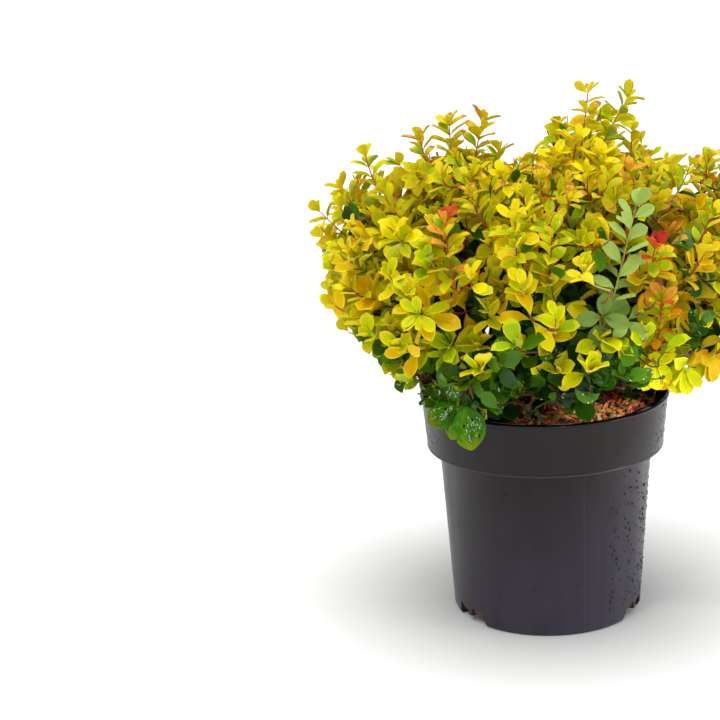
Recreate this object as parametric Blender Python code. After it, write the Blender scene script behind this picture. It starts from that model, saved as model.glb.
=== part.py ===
"""A potted barberry shrub: a nursery pot, its root ball, a short stem, boughs and masses of foliage.

Metres, +Z up. The origin is the middle of the pot's underside, and the photograph looks along +Y.
Azimuths are degrees from +X (the photograph's right) towards +Y (the back), elevations are above the horizon.
"""

import math
import random
from collections import namedtuple

import bmesh
import bpy
from mathutils import Matrix, Vector
from mathutils.geometry import intersect_ray_tri

GAP = 0.0003

# One mass of foliage, by its leader: the direction and length from the crown's foot to its furthest tip
Mass = namedtuple("Mass", "name azimuth elevation reach")
# A tier's boughs (root height above the soil, root radius, their share of the leader's reach) and masses
Tier = namedtuple("Tier", "bough_height bough_radius bough_share twigs leaves_on_twig")

# Pot
POT_HEIGHT = 0.210
RIM_RADIUS = 0.115
RIM_BEAD = 0.0013
RIM_BEAD_HEIGHT = 0.0034
COLLAR_FOOT_Z = 0.1595
COLLAR_FOOT_RADIUS = 0.109
COLLAR_ROUNDING = 0.0022
BODY_TOP_RADIUS = 0.0985
BODY_FOOT_RADIUS = 0.088
FOOT_RADIUS = 0.0860
FOOT_ROUNDING = 0.004
FOOT_RING_WIDTH = 0.0070
FLOOR_UNDERSIDE_Z = 0.006
FLOOR_THICKNESS = 0.0025
CENTRE_PAD_RADIUS = 0.024
WALL = 0.0018
POT_SEGMENTS = 40
NOTCH_AZIMUTHS = (216.5, 336.5, 96.5)
NOTCH_WIDTH = 0.040
DRAIN_WIDTH = 0.0155
DRAIN_SPACING = 0.0205
DRAIN_TOP_Z = 0.0135
DRAIN_DEPTH = 0.013

# Root ball and stem
SOIL_EDGE_Z = 0.1925
SOIL_TOP_Z = 0.1960
SOIL_FLAT_RADIUS = 0.026
STEM_HEIGHT = 0.036
STEM_FLARE_RADIUS = 0.0165
STEM_RADIUS = 0.0118
STEM_TOP_RADIUS = 0.0098
STEM_LEAN = Vector((-0.0022, 0.0016, 0.0))
STEM_SIDES = 12

# Crown: the reach from its foot to its outline, by elevation, which each leader stands out of
CROWN_FOOT = Vector((0.0, 0.0, 0.215))
REACH_BY_ELEVATION = (
    (-30, 0.112), (-15, 0.124), (0, 0.136), (10, 0.160), (20, 0.206),
    (30, 0.238), (42, 0.258), (54, 0.258), (66, 0.238), (80, 0.208), (90, 0.202),
)
LEADER_SPREAD = 13.0
MASSES = (
    Mass("top_right", 2, 79, 0.281),
    Mass("top_left", 193, 72, 0.266),
    Mass("top_front", 272, 62, 0.242),
    Mass("top_back", 92, 60, 0.230),
    Mass("upper_right", 350, 51, 0.270),
    Mass("upper_front_right", 303, 40, 0.254),
    Mass("upper_front_left", 238, 41, 0.254),
    Mass("upper_left", 180, 46, 0.280),
    Mass("upper_back_left", 128, 42, 0.256),
    Mass("upper_back_right", 52, 42, 0.258),
    Mass("lower_right", 346, 15, 0.196),
    Mass("lower_front_right", 303, 11, 0.172),
    Mass("lower_front", 264, 7, 0.152),
    Mass("lower_front_left", 221, 11, 0.166),
    Mass("lower_left", 176, 21, 0.206),
    Mass("lower_back_left", 116, 14, 0.182),
    Mass("lower_back_right", 56, 14, 0.182),
)
SITE_SHARE = 0.62

TIERS = {
    "top": Tier(0.0330, 0.0036, 0.44, 7, 6),
    "upper": Tier(0.0235, 0.0034, 0.45, 7, 6),
    "lower": Tier(0.0105, 0.0030, 0.46, 6, 8),
}
TOP_ROOT_OFFSET = 0.0058
BOUGH_TAPER = 0.66
BOUGH_SIDES = 6
BOUGH_RISE = 0.20
BOUGH_STEPS = 5
BOUGH_SWAY = 0.004

# Twigs and leaves
SEED = 100
MASS_STEM_SHARE = 0.74
TWIG_SIDES = 3
STEM_TWIG_RADIUS = 0.0021
TWIG_RADIUS = 0.0017
TWIG_TIP_RADIUS = 0.0012
TIP_SPACING = 0.044
TIP_SHELL = 0.52
TIP_CROWDING = 0.35
TIP_TRIES = 2600
LONGEST_TWIG = 0.115
LEAF_LENGTH = 0.044
LEAF_WIDTH = 0.66
LEAF_WIDEST = 0.60
LEAF_THICKNESS = 0.0008
LEAVES_ON_STEM = 3
TURN = 137.5
LEAF_TRIES = 12
BLADE_FACES = ((1, 2, 4), (1, 4, 3))
BLADE_EDGES = ((1, 2), (2, 4), (4, 3), (3, 1))
LIMB_CLEARANCE = 0.0042
TWIG_CLEARANCE = 0.0008
POT_CLEARANCE = 0.0035
SOIL_CLEARANCE = 0.006


def clear_scene():
    for obj in list(bpy.data.objects):
        bpy.data.objects.remove(obj)


def finish(name, colour, roughness):
    mat = bpy.data.materials.new(name)
    mat.use_nodes = True
    shader = mat.node_tree.nodes["Principled BSDF"]
    shader.inputs["Base Color"].default_value = (*colour, 1.0)
    shader.inputs["Roughness"].default_value = roughness
    shader.inputs["Metallic"].default_value = 0.0
    return mat


def object_from(bm, name, mat, collection=None):
    """A mesh object holding what the bmesh holds, in the scene or in one collection."""
    mesh = bpy.data.meshes.new(name)
    bm.to_mesh(mesh)
    bm.free()
    obj = bpy.data.objects.new(name, mesh)
    (collection or bpy.context.scene.collection).objects.link(obj)
    if mat:
        mesh.materials.append(mat)
    return obj


def turned(name, profile, segments, mat):
    """A solid of revolution about Z from a profile of (radius, height) that starts and ends on the axis."""
    bm = bmesh.new()
    points = [bm.verts.new((r, 0.0, z)) for r, z in profile]
    edges = [bm.edges.new(pair) for pair in zip(points, points[1:])]
    bmesh.ops.spin(
        bm, geom=points + edges, cent=(0, 0, 0), axis=(0, 0, 1),
        angle=math.tau, steps=segments, use_merge=True, use_duplicate=False,
    )
    bmesh.ops.remove_doubles(bm, verts=bm.verts, dist=1e-6)
    bmesh.ops.recalc_face_normals(bm, faces=bm.faces)
    obj = object_from(bm, name, mat)
    obj.data.shade_smooth()
    obj.data.set_sharp_from_angle(angle=math.radians(35))
    return obj


def arc(centre, radius, start, end, steps):
    """Points on an arc in the profile's plane, angles in degrees from the outward radius."""
    return [
        (
            centre[0] + radius * math.cos(math.radians(start + (end - start) * k / steps)),
            centre[1] + radius * math.sin(math.radians(start + (end - start) * k / steps)),
        )
        for k in range(steps + 1)
    ]


def helper(obj):
    """A cutter: it shapes its neighbour and isn't part of the shrub."""
    obj.hide_render = True
    obj.display_type = "WIRE"
    return obj


def cut(obj, cutter):
    mod = obj.modifiers.new("cut_" + cutter.name, "BOOLEAN")
    mod.operation = "DIFFERENCE"
    mod.solver = "EXACT"
    mod.object = cutter


# Pot and root ball


def collar_radius(z):
    """The collar's outer radius at a height."""
    share = (z - COLLAR_FOOT_Z) / (POT_HEIGHT - COLLAR_FOOT_Z)
    return COLLAR_FOOT_RADIUS + (RIM_RADIUS - RIM_BEAD - COLLAR_FOOT_RADIUS) * share


def body_radius(z):
    """The body's outer radius at a height, below the collar."""
    share = (z - FOOT_ROUNDING) / (COLLAR_FOOT_Z - FOOT_ROUNDING)
    return BODY_FOOT_RADIUS + (BODY_TOP_RADIUS - BODY_FOOT_RADIUS) * share


def pot_profile():
    bead_z = POT_HEIGHT - RIM_BEAD_HEIGHT
    inner_floor = FLOOR_UNDERSIDE_Z + FLOOR_THICKNESS
    shoulder_z = COLLAR_FOOT_Z + WALL
    outside = [
        (0.0, 0.0),
        (CENTRE_PAD_RADIUS, 0.0),
        (CENTRE_PAD_RADIUS, FLOOR_UNDERSIDE_Z),
        (FOOT_RADIUS - FOOT_RING_WIDTH, FLOOR_UNDERSIDE_Z),
        (FOOT_RADIUS - FOOT_RING_WIDTH, 0.0),
        (FOOT_RADIUS, 0.0),
        (BODY_FOOT_RADIUS, FOOT_ROUNDING),
        (BODY_TOP_RADIUS, COLLAR_FOOT_Z),
    ]
    rounding = arc(
        (COLLAR_FOOT_RADIUS - COLLAR_ROUNDING, COLLAR_FOOT_Z + COLLAR_ROUNDING),
        COLLAR_ROUNDING, -90, 0, 3,
    )
    bead = arc(
        (RIM_RADIUS - RIM_BEAD, bead_z + RIM_BEAD), RIM_BEAD, -70, 60, 3,
    )
    inside = [
        (RIM_RADIUS - RIM_BEAD - WALL * 0.6, POT_HEIGHT),
        (RIM_RADIUS - RIM_BEAD - WALL, POT_HEIGHT - 0.0006),
        (collar_radius(shoulder_z) - WALL, shoulder_z),
        (body_radius(COLLAR_FOOT_Z) - WALL, shoulder_z),
        (body_radius(inner_floor) - WALL, inner_floor),
        (0.0, inner_floor),
    ]
    below_bead = [(collar_radius(bead_z), bead_z)]
    return outside + rounding + below_bead + bead + inside


def boxes(name, placements):
    """One cutter mesh of boxes that don't touch, each a size and a matrix."""
    bm = bmesh.new()
    for size, matrix in placements:
        bmesh.ops.create_cube(bm, size=1.0, matrix=matrix @ Matrix.Diagonal((*size, 1.0)))
    return helper(object_from(bm, name, None))


def around(azimuth, radius, sideways, z):
    """A frame at a place on the pot's foot: X runs outwards, Y round the pot."""
    turn = Matrix.Rotation(math.radians(azimuth), 4, "Z")
    return turn @ Matrix.Translation((radius, sideways, z))


def make_pot(mat):
    pot = turned("pot", pot_profile(), POT_SEGMENTS, mat)
    ring_inner = FOOT_RADIUS - FOOT_RING_WIDTH
    reach_out = 0.03
    notch_low = -0.004
    notches = [
        (
            (reach_out, NOTCH_WIDTH, FLOOR_UNDERSIDE_Z - notch_low),
            around(a, ring_inner - 0.001 + reach_out / 2, 0.0, (FLOOR_UNDERSIDE_Z + notch_low) / 2),
        )
        for a in NOTCH_AZIMUTHS
    ]
    drains = [
        (
            (reach_out, DRAIN_WIDTH, DRAIN_TOP_Z - notch_low),
            around(
                a, BODY_FOOT_RADIUS - DRAIN_DEPTH + reach_out / 2,
                side * DRAIN_SPACING / 2, (DRAIN_TOP_Z + notch_low) / 2,
            ),
        )
        for a in NOTCH_AZIMUTHS
        for side in (-1, 1)
    ]
    cut(pot, boxes("foot_notches", notches))
    cut(pot, boxes("drain_holes", drains))
    return pot


def make_root_ball(mat):
    floor_z = FLOOR_UNDERSIDE_Z + FLOOR_THICKNESS + GAP
    shoulder_z = COLLAR_FOOT_Z + WALL + GAP
    profile = [
        (0.0, floor_z),
        (body_radius(floor_z) - WALL - GAP, floor_z),
        (body_radius(COLLAR_FOOT_Z) - WALL - GAP, shoulder_z),
        (collar_radius(shoulder_z) - WALL - GAP, shoulder_z),
        (collar_radius(SOIL_EDGE_Z) - WALL - GAP, SOIL_EDGE_Z),
        (RIM_RADIUS * 0.6, SOIL_TOP_Z - 0.0012),
        (SOIL_FLAT_RADIUS, SOIL_TOP_Z),
        (0.0, SOIL_TOP_Z),
    ]
    return turned("root_ball", profile, POT_SEGMENTS, mat)


# Limbs


def frames_along(path):
    """A turning-free frame at each point of a path: (point, side, up) with both across the path."""
    frames = []
    side = None
    for k, point in enumerate(path):
        ahead = path[min(k + 1, len(path) - 1)] - path[max(k - 1, 0)]
        ahead.normalize()
        if side is None:
            side = ahead.orthogonal().normalized()
        side = (side - ahead * side.dot(ahead)).normalized()
        frames.append((point, side.copy(), ahead.cross(side)))
    return frames


def add_limb(bm, path, radii, sides, level=False):
    """A closed tapering limb along a path, with flat ends; its rings lie level or square to the path."""
    rings = []
    frames = [(p, Vector((1, 0, 0)), Vector((0, 1, 0))) for p in path] if level else frames_along(path)
    for (point, side, up), radius in zip(frames, radii):
        ring = []
        for k in range(sides):
            a = math.tau * k / sides
            ring.append(bm.verts.new(point + (side * math.cos(a) + up * math.sin(a)) * radius))
        rings.append(ring)
    for low, high in zip(rings, rings[1:]):
        for k in range(sides):
            n = (k + 1) % sides
            bm.faces.new((low[k], low[n], high[n], high[k]))
    bm.faces.new(list(reversed(rings[0])))
    bm.faces.new(rings[-1])


def bezier(points, steps):
    """Points on a quadratic curve through its two ends, drawn towards its middle handle."""
    start, handle, end = points
    out = []
    for k in range(steps + 1):
        t = k / steps
        out.append(start * (1 - t) ** 2 + handle * 2 * t * (1 - t) + end * t * t)
    return out


def taper(start, end, count):
    return [start + (end - start) * k / (count - 1) for k in range(count)]


def towards(azimuth, elevation):
    a, e = math.radians(azimuth), math.radians(elevation)
    return Vector((math.cos(a) * math.cos(e), math.sin(a) * math.cos(e), math.sin(e)))


def heading_of(mass):
    return towards(mass.azimuth, mass.elevation)


def tier_of(mass):
    return TIERS[mass.name.split("_")[0]]


def base_reach(elevation):
    """The crown's reach at an elevation, before its leaders stand out of it."""
    table = REACH_BY_ELEVATION
    if elevation <= table[0][0]:
        return table[0][1]
    for (e0, r0), (e1, r1) in zip(table, table[1:]):
        if elevation <= e1:
            t = (elevation - e0) / (e1 - e0)
            return r0 + (r1 - r0) * t * t * (3 - 2 * t)
    return table[-1][1]


def crown_reach(direction):
    """The distance from the crown's foot to its outline in a direction."""
    reach = base_reach(math.degrees(math.asin(max(-1.0, min(1.0, direction.z)))))
    for mass in MASSES:
        apart = math.degrees(direction.angle(heading_of(mass)))
        reach += (mass.reach - base_reach(mass.elevation)) * math.exp(-((apart / LEADER_SPREAD) ** 2))
    return reach


def stem_axis(height):
    """A point on the stem's leaning axis, at a height above the soil."""
    return Vector((0, 0, SOIL_TOP_Z + GAP + height)) + STEM_LEAN * (height / STEM_HEIGHT)


def stem_rings(extra):
    """The stem's path and radii, or those of a cutter that much larger all round."""
    flare = ((0.0, STEM_FLARE_RADIUS), (0.004, 0.0139), (0.011, STEM_RADIUS), (0.027, 0.0110),
             (STEM_HEIGHT, STEM_TOP_RADIUS))
    path = [stem_axis(h) for h, _ in flare]
    path[-1] = path[-1] + Vector((0, 0, extra))
    return path, [r + extra for _, r in flare]


def make_stem(mat):
    """Makes the stem, and gives the cutter that keeps its boughs clear of it."""
    bm = bmesh.new()
    add_limb(bm, *stem_rings(0.0), STEM_SIDES, level=True)
    stem = object_from(bm, "stem", mat)
    stem.data.shade_smooth()
    stem.data.set_sharp_from_angle(angle=math.radians(40))
    bm = bmesh.new()
    add_limb(bm, *stem_rings(GAP), STEM_SIDES, level=True)
    return helper(object_from(bm, "stem_clearance", None))


def bough_path(mass):
    """A bough's path, from inside the stem's skin to its tip."""
    outward = towards(mass.azimuth, 0)
    tip = CROWN_FOOT + heading_of(mass) * mass.reach * tier_of(mass).bough_share
    rise = mass.reach * BOUGH_RISE
    if mass.name.startswith("top"):
        start = stem_axis(STEM_HEIGHT - 0.004) + outward * TOP_ROOT_OFFSET
        handle = start + Vector((0, 0, rise)) + outward * 0.006
    else:
        start = stem_axis(tier_of(mass).bough_height) + outward * (STEM_TOP_RADIUS - 0.003)
        handle = start.lerp(tip, 0.5) - Vector((0, 0, rise / 4))
    sway = BOUGH_SWAY * math.sin(math.radians(3 * mass.azimuth + 40))
    return bezier((start, handle + outward.cross(Vector((0, 0, 1))) * sway, tip), BOUGH_STEPS)


def make_bough(mass, mat, stem_cutter):
    """Makes one bough, cut clear of the stem, and gives its path with a radius at each point."""
    path = bough_path(mass)
    radius = tier_of(mass).bough_radius
    radii = taper(radius, radius * BOUGH_TAPER, len(path))
    bm = bmesh.new()
    add_limb(bm, path, radii, BOUGH_SIDES)
    bough = object_from(bm, "bough_" + mass.name, mat)
    bough.data.shade_smooth()
    bough.data.set_sharp_from_angle(angle=math.radians(50))
    cut(bough, stem_cutter)
    return list(zip(path, radii))


# Masses of foliage


def site_of(mass):
    """The middle of a mass's own space."""
    return CROWN_FOOT + heading_of(mass) * mass.reach * SITE_SHARE


def borders_of(mass):
    """The planes between a mass's space and its neighbours' spaces: (point, outward normal)."""
    own = site_of(mass)
    sites = [site_of(other) for other in MASSES if other is not mass]
    return [((own + site) / 2, (site - own).normalized()) for site in sites]


def clear_of_pot(point):
    """True well outside the pot's wall and above its filling."""
    radius = math.hypot(point.x, point.y)
    if point.z > POT_HEIGHT + POT_CLEARANCE:
        return True
    wall_inside = RIM_RADIUS - RIM_BEAD - WALL
    over_soil = radius < wall_inside - 2 * POT_CLEARANCE and point.z > SOIL_TOP_Z + SOIL_CLEARANCE
    return over_soil or radius > RIM_RADIUS + POT_CLEARANCE


def distance_to_limb(point, limb):
    """How far a point lies outside a limb's skin."""
    nearest = 1.0
    for (a, ra), (b, rb) in zip(limb, limb[1:]):
        along = b - a
        t = max(0.0, min(1.0, (point - a).dot(along) / along.length_squared))
        nearest = min(nearest, (point - a - along * t).length - (ra + (rb - ra) * t))
    return nearest


class Space:
    """The room that one mass may fill."""

    def __init__(self, mass, limbs):
        self.borders = borders_of(mass)
        self.limbs = [limb for limb in limbs if distance_to_limb(site_of(mass), limb) < mass.reach]

    def holds(self, point):
        return all((point - p).dot(n) < -GAP for p, n in self.borders)

    def within_reach(self, point):
        away = point - CROWN_FOOT
        return away.length < crown_reach(away.normalized())

    def open_at(self, points, clearance):
        """True if no point is in the pot or nearer to a limb than the clearance."""
        for p in points:
            if not clear_of_pot(p):
                return False
            if any(distance_to_limb(p, limb) < clearance for limb in self.limbs):
                return False
        return True


def spread_tips(mass, space, rng):
    """Where a mass's twigs end: its leader, then places in the crown's shell that keep their distance."""
    tips = [CROWN_FOOT + heading_of(mass) * (mass.reach - LEAF_LENGTH * 0.8)]
    for _ in range(TIP_TRIES):
        if len(tips) == tier_of(mass).twigs:
            break
        heading = Vector([rng.gauss(0, 1) for _ in range(3)]).normalized()
        reach = crown_reach(heading) - LEAF_LENGTH * 0.75
        share = TIP_SHELL + (1 - TIP_SHELL) * rng.random() ** TIP_CROWDING
        point = CROWN_FOOT + heading * reach * share
        if not space.holds(point) or not space.open_at([point], LEAF_LENGTH * 0.2):
            continue
        if all((point - t).length > TIP_SPACING for t in tips):
            tips.append(point)
    return tips


def twig_path(root, heading, tip):
    """A twig that leaves its parent forwards and then turns up to its tip."""
    span = (tip - root).length
    handle = root + heading * span * 0.35 + (tip - root) * 0.25 + Vector((0, 0, -0.06)) * span
    return bezier((root, handle, tip), 2)


def join_twig(tip, grown):
    """The nearest place on what has grown from which a twig can run outwards to a tip."""
    best = None
    for path in grown:
        for a, b in zip(path, path[1:]):
            for t in (0.25, 0.6, 0.95):
                root = a.lerp(b, t)
                span = (tip - root).length
                outwards = (tip - CROWN_FOOT).length - (root - CROWN_FOOT).length
                cost = span - 0.5 * outwards
                if best is None or cost < best[0]:
                    best = (cost, root, (b - a).normalized())
    return best[1], best[2]


def leaf_corners(root, along, face, length):
    """The corners of one leaf: its root's upper and lower end, its two sides and its tip."""
    across = face.cross(along).normalized()
    half = across * length * LEAF_WIDTH / 2
    middle = root + along * length * LEAF_WIDEST
    depth = face * LEAF_THICKNESS / 2
    return [
        root + depth, root - depth, middle + half - depth, middle - half - depth,
        root + along * length - depth,
    ]


def leaf_samples(corners):
    """Places over a leaf, close enough together that no limb slips between them."""
    _, root, left, right, tip = corners
    places = [left, right, tip]
    for a, b in ((root, left), (root, right), (root, tip), (left, tip), (right, tip)):
        places += [a.lerp(b, t) for t in (0.2, 0.4, 0.6, 0.8)]
    return [p for p in places if (p - root).length > 0.003]


def crosses(corners, others):
    """True if a leaf's blade cuts through another leaf's blade."""
    for other in others:
        if (corners[4] - other[4]).length > LEAF_LENGTH * 2.2:
            continue
        for one, two in ((corners, other), (other, corners)):
            for a, b in BLADE_EDGES:
                reach = (one[b] - one[a]).length
                for tri in BLADE_FACES:
                    hit = intersect_ray_tri(*(two[c] for c in tri), one[b] - one[a], one[a])
                    if hit and (hit - one[a]).length < reach:
                        return True
    return False


def add_leaf(bm, corners):
    top, under, left, right, tip = [bm.verts.new(c) for c in corners]
    blade = ((top, tip, left), (top, right, tip), (under, left, tip, right))
    root_end = ((under, top, left), (under, right, top))
    for face in blade + root_end:
        bm.faces.new(face)


def place_leaf(space, root, ahead, turn, lean, length, near, others):
    """The corners of the first leaf that fits at a twig's node, or None."""
    across = ahead.orthogonal().normalized()
    for attempt in range(LEAF_TRIES):
        spin = Matrix.Rotation(math.radians(turn + 64 * attempt), 3, ahead)
        along = (ahead * math.cos(lean) + (spin @ across) * math.sin(lean)).normalized()
        face = ahead + Vector((0, 0, 0.7))
        face = (face - along * face.dot(along)).normalized()
        corners = leaf_corners(root, along, face, length * (1 - 0.03 * attempt))
        if not all(space.holds(c) and space.within_reach(c) for c in corners):
            continue
        places = leaf_samples(corners)
        if not space.open_at(places, LIMB_CLEARANCE):
            continue
        if any(distance_to_limb(p, twig) < TWIG_CLEARANCE for p in places for twig in near):
            continue
        if not crosses(corners, others):
            return corners
    return None


def leaves_on(path, space, twigs, count, first, rng, leaves):
    """Sets leaves round a twig from a share of its length to its tip, the last one straight on."""
    others = [as_limb(twig) for twig in twigs if twig is not path]
    turn = rng.uniform(0, 360)
    spans = len(path) - 1
    for k in range(count):
        share = first + (1 - first) * k / max(1, count - 1)
        place = min(share * spans, spans - 0.02)
        a, b = path[int(place)], path[int(place) + 1]
        root = a.lerp(b, place - int(place))
        lean = math.radians(24 if k == count - 1 else 66 - 14 * share)
        length = LEAF_LENGTH * rng.uniform(0.86, 1.08)
        turn += TURN
        near = [limb for limb in others if distance_to_limb(root, limb) < LEAF_LENGTH * 1.1]
        leaf = place_leaf(space, root, (b - a).normalized(), turn, lean, length, near, leaves)
        if leaf:
            leaves.append(leaf)


def as_limb(twig):
    """A twig's path with a radius at each point."""
    return [(point, TWIG_RADIUS) for point in twig]


def between(path):
    """Places all along a twig after its root, no further apart than a few millimetres."""
    found = []
    for a, b in zip(path, path[1:]):
        steps = max(1, math.ceil((b - a).length / 0.004))
        found += [a.lerp(b, (k + 1) / steps) for k in range(steps)]
    return found


def grow(mass, limbs):
    """One mass by the seeded rule: its stem's path, its twigs' paths and its leaves' corners."""
    rng = random.Random(SEED + MASSES.index(mass))
    space = Space(mass, limbs)
    path = bough_path(mass)
    ahead = (path[-1] - path[-2]).normalized()
    start = path[-1] + ahead * GAP
    tips = spread_tips(mass, space, rng)
    top = CROWN_FOOT + heading_of(mass) * mass.reach * MASS_STEM_SHARE
    stem = [start] + bezier((start + ahead * 0.004, start.lerp(top, 0.5) + ahead * 0.01, top), 3)
    grown = [stem]
    for tip in sorted(tips, key=lambda t: (t - start).length):
        root, heading = join_twig(tip, grown)
        twig = twig_path(root, heading, tip)
        if (tip - root).length > LONGEST_TWIG or not all(space.holds(p) for p in twig):
            continue
        if space.open_at(between(twig), TWIG_RADIUS + 0.001):
            grown.append(twig)
    leaves = []
    for twig in grown[1:]:
        leaves_on(twig, space, grown, tier_of(mass).leaves_on_twig, 0.2, rng, leaves)
    leaves_on(stem, space, grown, LEAVES_ON_STEM, 0.45, rng, leaves)
    return stem, grown[1:], leaves


def united(obj, parts):
    """Joins a collection of solids to one object by a single Boolean union, and drops the parts."""
    mod = obj.modifiers.new("union", "BOOLEAN")
    mod.operation = "UNION"
    mod.operand_type = "COLLECTION"
    mod.collection = parts
    mod.solver = "EXACT"
    graph = bpy.context.evaluated_depsgraph_get()
    joined = bpy.data.meshes.new_from_object(obj.evaluated_get(graph))
    obj.modifiers.clear()
    obj.data = joined
    for part in list(parts.objects):
        bpy.data.objects.remove(part)
    bpy.data.collections.remove(parts)


def keep_outer_shell(obj):
    """Keeps the largest shell: a sealed hollow is filled and a loose scrap is dropped."""
    bm = bmesh.new()
    bm.from_mesh(obj.data)
    bmesh.ops.remove_doubles(bm, verts=bm.verts, dist=1e-6)
    bmesh.ops.dissolve_degenerate(bm, edges=bm.edges, dist=1e-6)
    left = set(bm.faces)
    shells = []
    while left:
        stack = [left.pop()]
        shell = set(stack)
        while stack:
            for edge in stack.pop().edges:
                for face in edge.link_faces:
                    if face in left:
                        left.discard(face)
                        shell.add(face)
                        stack.append(face)
        shells.append(shell)
    shells.sort(key=len)
    for shell in shells[:-1]:
        bmesh.ops.delete(bm, geom=list(shell), context="FACES")
    bm.to_mesh(obj.data)
    bm.free()


def make_mass(mass, limbs, mat):
    stem, twigs, leaves = grow(mass, limbs)
    parts = bpy.data.collections.new("parts_of_" + mass.name)
    bpy.context.scene.collection.children.link(parts)
    for k, twig in enumerate(twigs):
        bm = bmesh.new()
        add_limb(bm, twig, taper(TWIG_RADIUS, TWIG_TIP_RADIUS, len(twig)), TWIG_SIDES)
        object_from(bm, f"twig_{k}", None, parts)
    for k, corners in enumerate(leaves):
        bm = bmesh.new()
        add_leaf(bm, corners)
        object_from(bm, f"leaf_{k}", None, parts)
    bm = bmesh.new()
    add_limb(bm, stem, taper(STEM_TWIG_RADIUS, TWIG_RADIUS, len(stem)), TWIG_SIDES)
    foliage = object_from(bm, "foliage_" + mass.name, None)
    united(foliage, parts)
    keep_outer_shell(foliage)
    foliage.data.materials.clear()
    foliage.data.materials.append(mat)


def build():
    clear_scene()
    plastic = finish("pot_plastic", (0.045, 0.042, 0.045), 0.42)
    mulch = finish("bark_mulch", (0.13, 0.055, 0.028), 0.9)
    bark = finish("bark", (0.14, 0.075, 0.04), 0.8)
    leaf = finish("golden_leaves", (0.52, 0.50, 0.04), 0.4)
    make_pot(plastic)
    make_root_ball(mulch)
    stem_cutter = make_stem(bark)
    limbs = [list(zip(*stem_rings(0.0)))]
    limbs += [make_bough(mass, bark, stem_cutter) for mass in MASSES]
    for mass in MASSES:
        make_mass(mass, limbs, leaf)


build()
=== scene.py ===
"""A golden-leaved barberry in its nursery pot: moulded pot, bark mulch, wood, shoots and leaves.

Metres, +Z up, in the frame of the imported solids: the origin is the middle of the pot's underside and
the photograph looks along +Y. Azimuths are degrees from +X towards +Y, elevations are above the horizon.
Colours are given as they look on a screen, 0 to 255.
"""

import math
import random
from collections import namedtuple

import bmesh
import bpy
import numpy as np
from mathutils import Matrix, Vector, noise


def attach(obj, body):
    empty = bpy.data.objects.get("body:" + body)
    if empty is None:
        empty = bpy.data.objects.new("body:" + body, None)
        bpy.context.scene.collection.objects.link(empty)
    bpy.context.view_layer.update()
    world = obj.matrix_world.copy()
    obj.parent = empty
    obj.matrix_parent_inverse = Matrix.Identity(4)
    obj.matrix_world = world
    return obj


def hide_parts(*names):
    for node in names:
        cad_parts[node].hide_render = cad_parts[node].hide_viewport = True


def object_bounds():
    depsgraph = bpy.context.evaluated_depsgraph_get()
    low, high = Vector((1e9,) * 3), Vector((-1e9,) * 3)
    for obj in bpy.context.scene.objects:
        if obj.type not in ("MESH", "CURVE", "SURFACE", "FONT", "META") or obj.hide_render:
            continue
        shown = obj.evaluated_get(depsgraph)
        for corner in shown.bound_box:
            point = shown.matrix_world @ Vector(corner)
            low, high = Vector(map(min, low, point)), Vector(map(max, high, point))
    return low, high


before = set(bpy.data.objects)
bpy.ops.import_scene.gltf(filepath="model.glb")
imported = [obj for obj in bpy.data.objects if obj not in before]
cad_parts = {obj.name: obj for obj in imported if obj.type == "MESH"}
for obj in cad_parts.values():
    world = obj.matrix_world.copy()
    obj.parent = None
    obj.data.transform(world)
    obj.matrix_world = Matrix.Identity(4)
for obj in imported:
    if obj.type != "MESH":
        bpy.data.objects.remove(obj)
solid_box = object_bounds()

GAP = 0.0003

# Pot, as in the solids
POT_HEIGHT = 0.210
RIM_RADIUS = 0.115
RIM_BEAD = 0.0013
RIM_BEAD_HEIGHT = 0.0034
COLLAR_FOOT_Z = 0.1595
COLLAR_FOOT_RADIUS = 0.109
COLLAR_ROUNDING = 0.0022
BODY_TOP_RADIUS = 0.0985
BODY_FOOT_RADIUS = 0.088
FOOT_RADIUS = 0.0860
FOOT_ROUNDING = 0.004
FOOT_RING_WIDTH = 0.0070
FLOOR_UNDERSIDE_Z = 0.006
FLOOR_THICKNESS = 0.0025
CENTRE_PAD_RADIUS = 0.024
WALL = 0.0018
NOTCH_AZIMUTHS = (216.5, 336.5, 96.5)
NOTCH_WIDTH = 0.040
DRAIN_WIDTH = 0.0155
DRAIN_SPACING = 0.0205
DRAIN_TOP_Z = 0.0135
DRAIN_DEPTH = 0.013
CUT_ROUNDING = 0.0012
POT_SEGMENTS = 144

# Filling and stem, as in the solids
SOIL_EDGE_Z = 0.1925
SOIL_TOP_Z = 0.1960
SOIL_SEGMENTS = 110
SOIL_RINGS = 34
SOIL_UNEVENNESS = 0.0022
CHIPS = 2000
CHIP_TILT = 22
CHIP_HEAP = 0.004
# Name, screen colour and share of each tint of chip
CHIP_TINTS = (
    ("tan", (255, 200, 124), 22), ("orange", (255, 156, 84), 32), ("red", (214, 104, 56), 20),
    ("brown", (104, 58, 38), 22), ("grey", (176, 142, 104), 4),
)
STEM_HEIGHT = 0.036
STEM_FLARE_RADIUS = 0.0165
STEM_RADIUS = 0.0118
STEM_TOP_RADIUS = 0.0098
STEM_LEAN = np.array((-0.0022, 0.0016, 0.0))

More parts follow.
